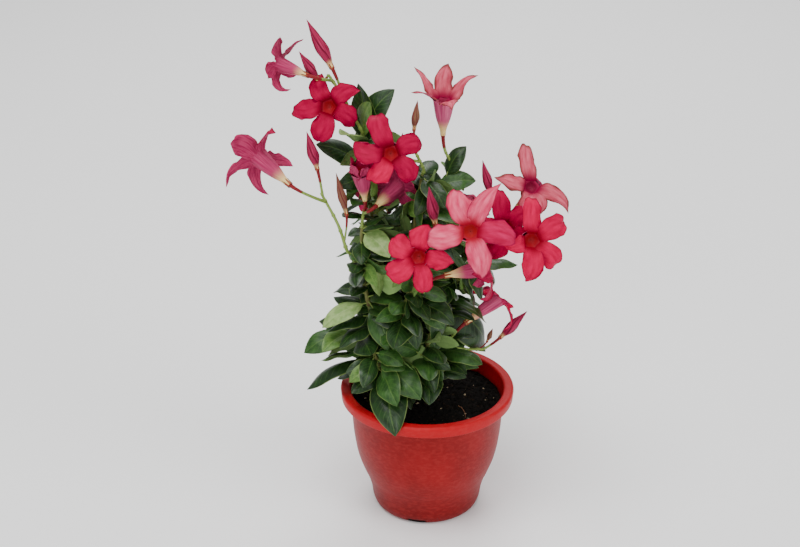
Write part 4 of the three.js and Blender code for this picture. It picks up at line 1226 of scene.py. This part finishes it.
# %% Table of the trusses
TRUSSES = {
    "blossom_top_left": {
        "on": ("leaves_top_left", 0), "stalk": [(-82, 14, 428), (-92, 20, 442)],
        "flowers": [
            Bloom(0.9, (-138, 20, 453), -125, 8, "mauve", narrow=0.74, opening=(1, 1.15, 1.5, 1.1, 0.9),
                  curl=(20, 20, 40, 110, 60), petals=[
                (72, 30, 20, 0.4, 0.5), (128, 34, 15, -0.3, 0.8), (215, 23, 12, 0, 0.3),
                (272, 36, 9, -0.2, 0.85), (345, 27, 15, 0.2, 0.6)]),
            Bloom(0.75, (-92, -6, 421), -12, 25, "red", deep=range(PETALS), petals=[
                (40, 33, 17, -0.5, 0.55), (117, 33, 17, -0.5, 0.45), (184, 38, 20, 0.8, 0.5),
                (256, 33, 24, 0, 0.1), (-26, 30, 19, -0.4, 0.15)]),
        ],
        "buds": [(0.5, (-88, 5, 454), (-110, 10, 497), 5.6), (1, (-101, 10, 440), (-117, 2, 470), 4.6)],
    },
    "blossom_left": {
        "on": ("leaves_left", 1), "stalk": [(-84, -23, 312), (-99, -20, 342)],
        "flowers": [
            Bloom(0.85, (-157, -15, 377), -130, 24, "mauve", size=1.25, narrow=0.76,
                  opening=(0.62, 1.04, 1.3, 1.15, 0.84), curl=(0, 20, 30, 60, 30), petals=[
                (34, 41, 21, 0.2, 0.25), (78, 53, 15, -0.3, 0.8), (190, 38, 16, 0, 0.6),
                (264, 43, 11, 0, 0.75), (340, 46, 11, 0, 0.7)]),
        ],
        "buds": [
            (0.95, (-102, -18, 365), (-111, -15, 400), 5),
            (0.2, (-76, -22, 322), (-85, -20, 362), 3.9, young_buds),
        ],
    },
    "blossom_centre_left": {
        "on": ("leaves_left", 0), "stalk": [(-60, -12, 322)],
        "flowers": [
            Bloom(0.8, (-62, -24, 366), -20, 75, "mauve", size=0.95, opening=0.14, curl=0, petals=[
                (18, 21, 11, 0, 0.6), (90, 23, 11, 0.2, 0.6), (162, 20, 11, 0, 0.6),
                (234, 22, 11, 0.2, 0.6), (306, 21, 11, 0, 0.6)]),
            Bloom(0.8, (-29, 5, 339), 148, 11, "mauve", size=1.05, opening=0.9, curl=40),
        ],
        "buds": [],
    },
    "blossom_centre": {
        "on": ("leaves_centre", 0), "stalk": [(-12, -8, 376)],
        "flowers": [
            Bloom(0.6, (-35, -45, 391), 0, 25, "red", curl=34, deep=(0, 1, 2, 4), petals=[
                (20, 32, 19, -0.3, 0.3), (108, 42, 20, 0.2, 0.15), (174, 37, 20, -0.8, 0.4),
                (236, 32, 21, -0.5, 0.3), (-51, 35, 20, -0.5, 0.25)]),
        ],
        "buds": [(1, (-14, -12, 401), (-11, -10, 428), 3.6, young_buds)],
    },
    "blossom_top_right": {
        "on": ("leaves_centre", 1), "stalk": [(16, 13, 368)],
        "flowers": [
            Bloom(1, (13, 15, 424), 0, 86, "faded", size=1.1, opening=(0.44, 0.3, 0.42, 0.62, 0.72),
                  curl=20, petals=[
                (14, 38, 13, 0, 0.85), (80, 36, 16, 0, 0.45), (142, 40, 14, 0.2, 0.8),
                (200, 33, 13, 0.2, 0.8), (285, 27, 14, 0, 0.5)]),
        ],
        "buds": [],
    },
    "blossom_right": {
        "on": ("leaves_right", 0), "stalk": [(62, -12, 300), (74, -6, 312)],
        "flowers": [
            Bloom(0.3, (35, -85, 333), -5, 25, "pink", size=1.08, curl=30, deep=(4,), petals=[
                (60, 50, 18, 0, 0.85), (107, 42, 24, 0.5, 0.6), (188, 40, 23, 0.6, 0.25),
                (284, 44, 23, 0.2, 0.65), (-8, 44, 23, -0.3, 0.5)]),
            Bloom(0.8, (69, -50, 319), 14, 28, "red", curl=24, deep=range(PETALS), petals=[
                (28, 32, 20, 0.1, 0.3), (88, 38, 19, 0.3, 0.4), (158, 32, 19, 0, 0.2),
                (236, 30, 20, 0, 0.3), (-36, 30, 19, 0, 0.3)]),
            Bloom(0.6, (93, -66, 315), 12, 20, "red", size=1.05, curl=40, petals=[
                (22, 37, 23, 0, 0.05), (82, 42, 19, 0.6, 0.25), (185, 28, 14, 0, 0.8),
                (258, 42, 20, 0.3, 0.75), (-50, 37, 19, 0.2, 0.05)]),
            Bloom(1, (97, 8, 338), 15, 42, "faded", opening=0.88, curl=34, petals=[
                (-40, 46, 14, 0, 0.9), (84, 46, 19, 0.2, 0.5), (158, 36, 19, 0.2, 0.8),
                (236, 26, 15, 0, 0.4), (-80, 28, 14, 0.2, 0.5)]),
        ],
        "buds": [(0.7, (56, -22, 342), (48, -22, 375), 4.3)],
    },
    "blossom_front": {
        "on": ("leaves_front", 0), "stalk": [(-4, -48, 300)],
        "flowers": [
            Bloom(0.6, (-11, -86, 308), -10, 20, "red", curl=18, petals=[
                (-11, 32, 20, 0.3, 0.7), (77, 30, 23, 0, 0.5), (150, 31, 21, 0.1, 0.15),
                (214, 33, 22, -0.1, 0.02), (279, 34, 19, 0, 0.12)]),
        ],
        "buds": [(1, (5, -55, 327), (-1, -55, 363), 5.4)],
    },
    "blossom_front_right": {
        "on": ("leaves_front", 1), "stalk": [(-2, -60, 270)],
        "flowers": [
            Bloom(1, (56, -64, 288), 98, 8, "mauve", size=1.2, narrow=0.8,
                  opening=(1.1, 1.2, 1.2, 1.1, 1), curl=50, petals=[
                (90, 37, 18, 0, 0.5), (20, 31, 18, 0.2, 0.4), (162, 35, 17, 0, 0.5),
                (235, 36, 18, 0, 0.5), (305, 36, 18, 0, 0.4)]),
        ],
        "buds": [],
    },
    "blossom_low_right": {
        "on": ("leaves_low_right", 0), "stalk": [(34, -9, 174), (54, -4, 171)],
        "flowers": [
            Bloom(0.2, (70, -5, 229), 112, 30, "red", size=1.2, narrow=0.7,
                  opening=(1.4, 1.3, 0.8, 0.9, 1.1), curl=(20, 30, 30, 60, 50), petals=[
                (94, 34, 18, -0.3, 0.35), (22, 25, 14, 0, 0.5), (166, 38, 12, 0, 0.85),
                (238, 40, 12, 0, 0.85), (310, 24, 13, 0, 0.6)]),
        ],
        "buds": [(1, (71, 4, 180), (96, 5, 208), 5), (0.85, (58, 0, 178), (63, 0, 192), 2.4, young_buds)],
    },
    "blossom_back": {
        "on": ("leaves_back", 0), "stalk": [(-36, 56, 330)],
        "flowers": [Bloom(0.8, (-46, 96, 300), 195, 22, "red")],
        "buds": [(1, (-30, 64, 340), (-24, 72, 366), 4.2)],
    },
    "blossom_back_right": {
        "on": ("leaves_back_right", 0), "stalk": [(28, 50, 306)],
        "flowers": [Bloom(0.8, (34, 92, 276), 165, 20, "pink", roll=30)],
        "buds": [],
    },
}
print("trusses:", len(TRUSSES))

# %% Grow the trusses
TRUSS_SUNK = 0.6
TRUSS_SETS_OUT = 5.6
STALK_RADII = np.array([1.6, 1.4, 1.3])
BLOOM_STALK_KNEE = 12
BUD_STALK_KNEE = 8
BUD_STALK = 0.17
RED_LENGTH = 15
RED_RADII = np.array([1.5, 1.7, 2.2])
BLOOM_CALYX, BUD_CALYX = 2.1, 0.4
CALYX_BACK = 1.5
taken = []


def flower_stalk(path, thick=1):
    """Stalk of one flower or bud: green where it leaves the truss, its last stretch red."""
    taken.append(path.part(0, 1, 16).points)
    joint = max(0.1, 1 - RED_LENGTH / path.length)
    tube(stalks, path.part(0, joint, 16), STALK_RADII * thick, 8, 12)
    tube(red_stalks, path.part(joint, 1, 10), RED_RADII * thick, 8, 8)


for number, (name, truss) in enumerate(TRUSSES.items()):
    below = stems[truss["on"][0]][truss["on"][1]]
    heading = below.along(1.0)
    start = below.at(1.0) - heading * TRUSS_SUNK
    stalk = through([start, start + heading * TRUSS_SETS_OUT, *truss["stalk"]])
    tube(stalks, stalk, STALK_RADII, 10, 40, relief=furrows(0.03, 4, number, collar=0.45))
    taken.append(stalk.part(0, 1, 12).points)
    for k, bloom in enumerate(truss["flowers"]):
        way = facing(bloom.azimuth, bloom.lift)
        base = np.array(bloom.mouth, float) - way * (TUBE_LENGTH * bloom.size - 1)
        flower_stalk(bezier(stalk.at(bloom.share), base - way * BLOOM_STALK_KNEE, base + way))
        calyx(calyxes, base - way * CALYX_BACK, way, BLOOM_CALYX * bloom.size)
        taken.append(flower(blooms[bloom.tint], bloom, number * 4 + k))
    for share, base, tip, radius, *young in truss["buds"]:
        base, tip = np.array(base, float), np.array(tip, float)
        way = unit(tip - base)
        path = bezier(stalk.at(share), base - way * BUD_STALK_KNEE, base + way * 2)
        flower_stalk(path, BUD_STALK * radius)
        calyx(calyxes, base - way * CALYX_BACK, way, BUD_CALYX * radius)
        bud(young[0] if young else buds, base, tip, radius)
        taken.append(mix(base, tip, np.linspace(0, 1, 6)[:, None]))
for heap in (stalks, red_stalks, calyxes, buds, young_buds, *blooms.values()):
    heap.piece("blossom", *TRUSSES)

# %% [markdown]
# ## The leaves
# A leaf of this shrub is a pointed oval, leathery and glossy above, pale below, folded a little along its
# midrib and curled at the tip. A flat card with a drawn leaf would be quicker, but only a bent mesh looks
# right from every side, so a leaf is two grids, upper and under, that share their edge. The finish draws the
# veins: a step at the middle of the chart is the midrib, and slanted waves are the side veins.

# %% Leaf finishes
UPPER, UNDER = (0, 0, 0.5, 1), (0.5, 0, 1, 1)
VEIN_PAIRS = 9


def leaf_lines(finish, chart):
    """Midrib, side veins and rim of a leaf, drawn on its chart."""
    across, along = finish.chart(chart)
    off = finish.away(finish.times(across, 2.0), 1.0)
    rib = finish.step(off, 0.07, 0.02)
    wave = finish.minus(finish.times(along, VEIN_PAIRS), finish.times(off, 2.4))
    vein = finish.away(finish.maths("FRACT", wave), 0.5)
    vein = finish.times(finish.step(vein, 0.4, 0.5), finish.step(off, 0.95, 0.6))
    return across, along, rib, vein, finish.step(off, 0.93, 0.98)


def leaf_upper(name, deep, light, rib_tint, rim_tint, roughness):
    """Glossy upper face of a leaf, clouded, with paler lines and rim."""
    finish = Finish(name, roughness, gloss=0.32)
    across, along, rib, vein, rim = leaf_lines(finish, UPPER)
    cloud = finish.streaks(across, along, 4, 7)
    grain = finish.streaks(across, along, 60, 90)
    colour = finish.blend(finish.step(cloud, 0.3, 0.7), deep, light)
    colour = finish.tinge(vein, 0.16, colour, rib_tint)
    colour = finish.tinge(rib, 0.26, colour, rib_tint)
    colour = finish.tinge(rim, 0.5, colour, rim_tint)
    colour = finish.tinge(finish.step(grain, 0.6, 0.75), 0.22, colour, rim_tint)
    height = finish.minus(finish.times(grain, 0.25), finish.maths("MAXIMUM", rib, vein))
    finish.bump(height, 0.24, 0.0005)
    return finish.colour(colour)


def leaf_under(name, deep, light):
    """Dull under face of a leaf, with raised lines."""
    finish = Finish(name, 0.62, gloss=0.2)
    across, along, rib, vein, _ = leaf_lines(finish, UNDER)
    grain = finish.streaks(across, along, 30, 50)
    lines = finish.maths("MAXIMUM", rib, vein)
    finish.bump(finish.plus(lines, finish.times(grain, 0.3)), 0.35, 0.0006)
    return finish.colour(finish.tinge(lines, 0.5, finish.blend(grain, deep, light), light))


print("vein pairs:", VEIN_PAIRS)

# %% Leaf sorts
pale_under = leaf_under("leaf_under", paint(96, 128, 68), paint(132, 162, 96))
RIB, FRESH_RIB, PALE_RIB = paint(104, 138, 62), paint(150, 176, 98), paint(178, 196, 140)
RIM = paint(136, 156, 82)
# The pale sort's upper face is painted pale: partly a paler leaf, partly painted sheen where light glints.
LEAVES = {
    "deep": (paint(14, 37, 12), paint(30, 60, 22), RIB, RIM, 0.36),
    "mid": (paint(30, 62, 22), paint(52, 88, 35), RIB, RIM, 0.38),
    "fresh": (paint(64, 100, 36), paint(92, 126, 54), FRESH_RIB, RIM, 0.44),
    "pale": (paint(114, 146, 78), paint(148, 172, 108), PALE_RIB, RIM, 0.5),
}
leaves = {}
for sort, look in LEAVES.items():
    leaves[sort] = Heap("leaves_" + sort, [leaf_upper("leaf_" + sort, *look), pale_under])
print("leaf sorts:", list(LEAVES))

# %% One leaf
LEAF_WIDTH = 0.5
LEAF_STALK = 0.13
LEAF_ROWS, LEAF_COLUMNS = 13, 9
LEAF_THICKNESS = 0.5
PETIOLE_RADII = (0.95, 0.7, 0.6)
PETIOLE_LAP = 0.06


def leaf_grid(path, length, up, key):
    """Upper face of a leaf along its bent midrib: a pointed oval, folded, with a slight wave in its edge."""
    u = np.linspace(0, 1, LEAF_ROWS)
    t = np.linspace(-1, 1, LEAF_COLUMNS)[None, :]
    shares = mix(LEAF_STALK, 1, u)
    along = path.along(shares)
    side = unit(np.cross(along, up))
    top = np.cross(side, along)
    roll = np.radians(between(-32, 32, key, 1, 7) * u)[:, None]
    # The face turns a little round its midrib towards the tip.
    side, top = side * np.cos(roll) + top * np.sin(roll), top * np.cos(roll) - side * np.sin(roll)
    # The outline is widest below the middle.
    oval = (u + 0.012) ** 0.6 * (1.004 - u) ** 0.88 / 0.372
    wide = (length * LEAF_WIDTH / 2 * oval * between(0.9, 1.08, key, 2, 7))[:, None]
    # The halves fold down or up, the edge waves and the tip bends down.
    fold = between(-0.55, 0.22, key, 3, 7)
    lift = wide * (fold * np.where(fold < 0, t**2, np.abs(t)) - 0.1 * t**4 - 0.05 * np.exp(-((t / 0.2) ** 2)))
    wave = between(0.02, 0.08, key, 4, 7) * np.sin(u[:, None] * 11 + t * 1.5 + key) * np.abs(t) ** 2
    lift = lift + wide * wave - length * between(0.02, 0.12, key, 5, 7) * smooth_step(0.6, 1, u)[:, None]
    return path.at(shares)[:, None] + side[:, None] * (t * wide)[..., None] + top[:, None] * lift[..., None]


def add_leaf(sort, grid, path):
    """Puts a leaf on its heap: upper face, under face and stalk."""
    inset = np.ones(grid.shape[:2])
    inset[0], inset[-1], inset[:, 0], inset[:, -1] = 0, 0, 0, 0
    under = grid - normals(grid) * (LEAF_THICKNESS * inset)[..., None]
    leaves[sort].grid(grid, 0, UPPER)
    leaves[sort].grid(under, 1, UNDER, flip=True)
    tube(twigs, path.part(0, LEAF_STALK + PETIOLE_LAP, 8), PETIOLE_RADII, 6, 4)


print("leaf faces:", 2 * (LEAF_ROWS - 1) * (LEAF_COLUMNS - 1))

# %% [markdown]
# ## Room for a leaf
# Before a leaf is kept, its points are compared with the flowers, stalks and leaves that have grown so far.
# Space is cut into small cells, and each of them marks the cells that it passes through. Looking up a cell is
# far cheaper than cutting meshes with each other, and close enough for thin leaves. A leaf in the way of
# something is turned, drawn in or made smaller, and given up if nothing fits.

# %% Room for a leaf
CELL = 3.2
SOIL_CLEAR, LIP_CLEAR = 4, 2
POT_WEIGHT = 4


def cells_of(points):
    """The cells that the points lie in."""
    return {tuple(cell) for cell in np.floor(points.reshape(-1, 3) / CELL).astype(int).tolist()}


grown = cells_of(np.concatenate(taken))


def crowding(points):
    """How many cells of a leaf are taken, counting more for the pot and its soil."""
    spots = points.reshape(-1, 3)
    reach = np.hypot(spots[:, 0], spots[:, 1])
    in_soil = (reach < RIM_RADIUS - SOIL_CLEAR) & (spots[:, 2] < SOIL_TOP + SOIL_CLEAR)
    by_lip = np.abs(reach - RIM_RADIUS + LIP_WIDTH / 2) < LIP_WIDTH / 2 + LIP_CLEAR
    in_lip = by_lip & (spots[:, 2] < POT_HEIGHT + LIP_CLEAR)
    return len(cells_of(points) & grown) + POT_WEIGHT * int((in_soil | in_lip).sum())


def within(space, point):
    """Whether a point lies in the rounded room of a mass."""
    centre, half = np.array(space[0], float), np.array(space[1], float)
    return np.linalg.norm((point - centre) / half) < 1


print("cells taken by flowers and stalks:", len(grown))

# %% Try a leaf
LEAF_TURNS = (0, 25, -25, 50, -50, 75, -75)
LEAF_TRIES = ((1, 1), (0.62, 1), (1.35, 0.9), (0.8, 0.72))
LEAF_FOOT_ROWS = 3


def grow_leaf(sort, make_path, space, key, most):
    """Tries a leaf at several turns, spreads and sizes, and keeps the one with most room."""
    best = None
    for (spread, size), turn in product(LEAF_TRIES, LEAF_TURNS):
        path, length, up = make_path(turn, spread, size)
        if space is not None and not within(space, path.at(1.0)):
            continue
        grid = leaf_grid(path, length, up, key)
        score = crowding(grid[LEAF_FOOT_ROWS:])
        if best is None or score < best[0]:
            best = (score, grid, path)
        if score == 0:
            break
    if best is None or best[0] > most:
        return 0
    add_leaf(sort, best[1], best[2])
    grown.update(cells_of(best[1][LEAF_FOOT_ROWS - 1:]))
    return 1


print("tries for a leaf:", len(LEAF_TRIES) * len(LEAF_TURNS))

# %% [markdown]
# ## Growing the leaves
# The outer leaves come first, because they set the outline and each has its own place. Side twigs and leaves
# in pairs then fill every mass by the rule, each pair turned a quarter from the last. Pairs along the boughs
# close the crown from all sides.

# %% Ways that a leaf stands on its stem
LEAF_ARCH = 0.19
LEAF_SPREAD = 62
LEAF_DROOP = 0.66
LEAF_BEND = (0.45, 0.58)
DEEP_SHARE, MID_SHARE = 0.62, 0.985


def outer_leaf(stem, share, tip, lean, arch=LEAF_ARCH):
    """Leaf from a share of its stem to a given tip, arched, its face leant forward."""
    start = stem.at(share)

    def path_of(turn, spread, size):
        chord = (np.array(tip, float) - start) * size
        length = np.linalg.norm(chord)
        side = unit(np.cross(chord, UP))
        up = unit(np.cross(side, chord))
        path = bezier(start, start + chord * 0.5 + up * length * arch, start + chord)
        angle = math.radians(lean + turn * 0.5) * (-1 if side[1] > 0 else 1)
        along = chord / length
        face = up * math.cos(angle) + np.cross(along, up) * math.sin(angle)
        return path, length, face

    return path_of


def pair_leaf(stem, share, azimuth, full):
    """Leaf of a pair: spreads from its stem and droops towards the tip."""
    start, along = stem.at(share), stem.along(share)

    def path_of(turn, spread, size):
        length = full * size
        level = facing(azimuth + turn, 0)
        out = unit(level - along * (level @ along))
        angle = math.radians(LEAF_SPREAD * spread)
        heading = along * math.cos(angle) + out * math.sin(angle)
        drooped = unit(heading - UP * LEAF_DROOP)
        knee = start + heading * length * LEAF_BEND[0]
        end = knee + drooped * length * LEAF_BEND[1]
        return bezier(start, knee, end), length, unit(along - heading * (along @ heading))

    return path_of


def sort_of(a, b, c):
    """Deals out the leaf sorts: most are deep green, some mid and a few fresh."""
    draw = chance(a + 3, b + 5, c + 11)
    return "deep" if draw < DEEP_SHARE else "mid" if draw < MID_SHARE else "fresh"


print("sort of the first leaf:", sort_of(0, 0, 0))

# %% Grow the outer leaves
kept = 0
for seed, (name, mass) in enumerate(MASSES.items()):
    for k, (stem, share, tip, lean, sort, *arch) in enumerate(mass["outer"]):
        way = outer_leaf(stems[name][stem], share, tip, lean, *arch)
        kept += grow_leaf(sort, way, None, seed * 31 + k, math.inf)
print("outer leaves:", kept)

# %% Grow the side twigs
TWIG_RADII = (1.1, 0.9)
TWIG_LENGTHS = (10, 32)
TWIG_SHARE = 0.36
TWIG_PLACES = (0.2, 0.9)
TWIG_LIFTS = (5, 45)
TWIG_TURN = 45
GOLDEN_ANGLE = 137.5
MORE_TWIGS = 2


def room_ahead(space, start, direction):
    """How far along a direction the room of a mass reaches."""
    centre, half = np.array(space[0], float), np.array(space[1], float)
    p, d = (start - centre) / half, direction / half
    a, b, c = d @ d, p @ d, p @ p - 1
    root = b * b - a * c
    return (math.sqrt(root) - b) / a if root > 0 else 0


for seed, (name, mass) in enumerate(MASSES.items()):
    leader = stems[name][0]
    count = mass["twigs"] * MORE_TWIGS
    for i in range(count):
        start = leader.at(mix(*TWIG_PLACES, (i + 0.5) / count))
        azimuth = mass["turn"] + TWIG_TURN + i * GOLDEN_ANGLE
        outward = facing(azimuth, between(*TWIG_LIFTS, seed, i, 3))
        length = min(TWIG_LENGTHS[1], TWIG_SHARE * room_ahead(mass["space"], start, outward))
        if length > TWIG_LENGTHS[0]:
            path = bend(start, unit(outward * (1, 1, 0.5)), start + outward * length)
            tube(twigs, path, TWIG_RADII, 7, 8)
            stems[name].append(path)
print("stems:", sum(len(s) for s in stems.values()))

# %% Grow the leaf pairs
TWIG_PAIRS = 3
FIRST_ON_LEADER, FIRST_ON_TWIG, LAST_PAIR = 0.12, 0.35, 0.97
LEAF_SIZES = (0.82, 1.14)
YOUNG_LEAF = 0.55
STEM_TURN, QUARTER, HALF, WANDER = 40, 90, 180, 20
MOST_CROWDED = 4
kept = 0
for seed, (name, mass) in enumerate(MASSES.items()):
    for a, stem in enumerate(stems[name]):
        pairs = mass["pairs"] + 1 if a == 0 else TWIG_PAIRS
        first = FIRST_ON_LEADER if a == 0 else FIRST_ON_TWIG
        for p in range(pairs):
            share = mix(first, LAST_PAIR, p / (pairs - 1))
            for s in range(2):
                key = p * 2 + s
                wander = between(-WANDER, WANDER, seed, a, key)
                azimuth = mass["turn"] + a * STEM_TURN + p * QUARTER + s * HALF + wander
                young = YOUNG_LEAF if a > 0 and p == pairs - 1 else 1
                length = mass["leaf"] * between(*LEAF_SIZES, seed, key, a + 5) * young
                way = pair_leaf(stem, share, azimuth, length)
                sort = "fresh" if young < 1 and s == 0 else sort_of(seed, key, a)
                kept += grow_leaf(sort, way, mass["space"], seed * 97 + a * 17 + key, MOST_CROWDED)
print("pair leaves:", kept)

# %% Grow leaves on the boughs
BOUGH_PAIRS = 6
BOUGH_LEAF = 46
BOUGH_SIZES = (0.8, 1.1)
BOUGH_TURN = 50
FIRST_KEY, KEYS_OF_A_BOUGH = 2000, 40
FIRST_ON_BOUGH = 0.42
CROWN = ((-18, 0, 235), (92, 92, 110))
kept = 0
for seed, bough in enumerate(bough_paths.values()):
    for p in range(BOUGH_PAIRS):
        share = mix(FIRST_ON_BOUGH, LAST_PAIR, p / (BOUGH_PAIRS - 1))
        for s in range(2):
            key = FIRST_KEY + seed * KEYS_OF_A_BOUGH + p * 2 + s
            wander = between(-WANDER, WANDER, seed, p, s + 9)
            azimuth = seed * BOUGH_TURN + p * QUARTER + s * HALF + wander
            way = pair_leaf(bough, share, azimuth, BOUGH_LEAF * between(*BOUGH_SIZES, seed, p, s + 4))
            kept += grow_leaf(sort_of(seed + 20, p, s), way, CROWN, key, MOST_CROWDED)
print("bough leaves:", kept)

# %% Turn the heaps into pieces
twigs.piece("bark", *MASSES)
for heap in leaves.values():
    heap.piece("leaf", *MASSES)

# %% [markdown] ## The dressed plant
# The dressed plant has to stay in the solids' box, apart from a small allowance.
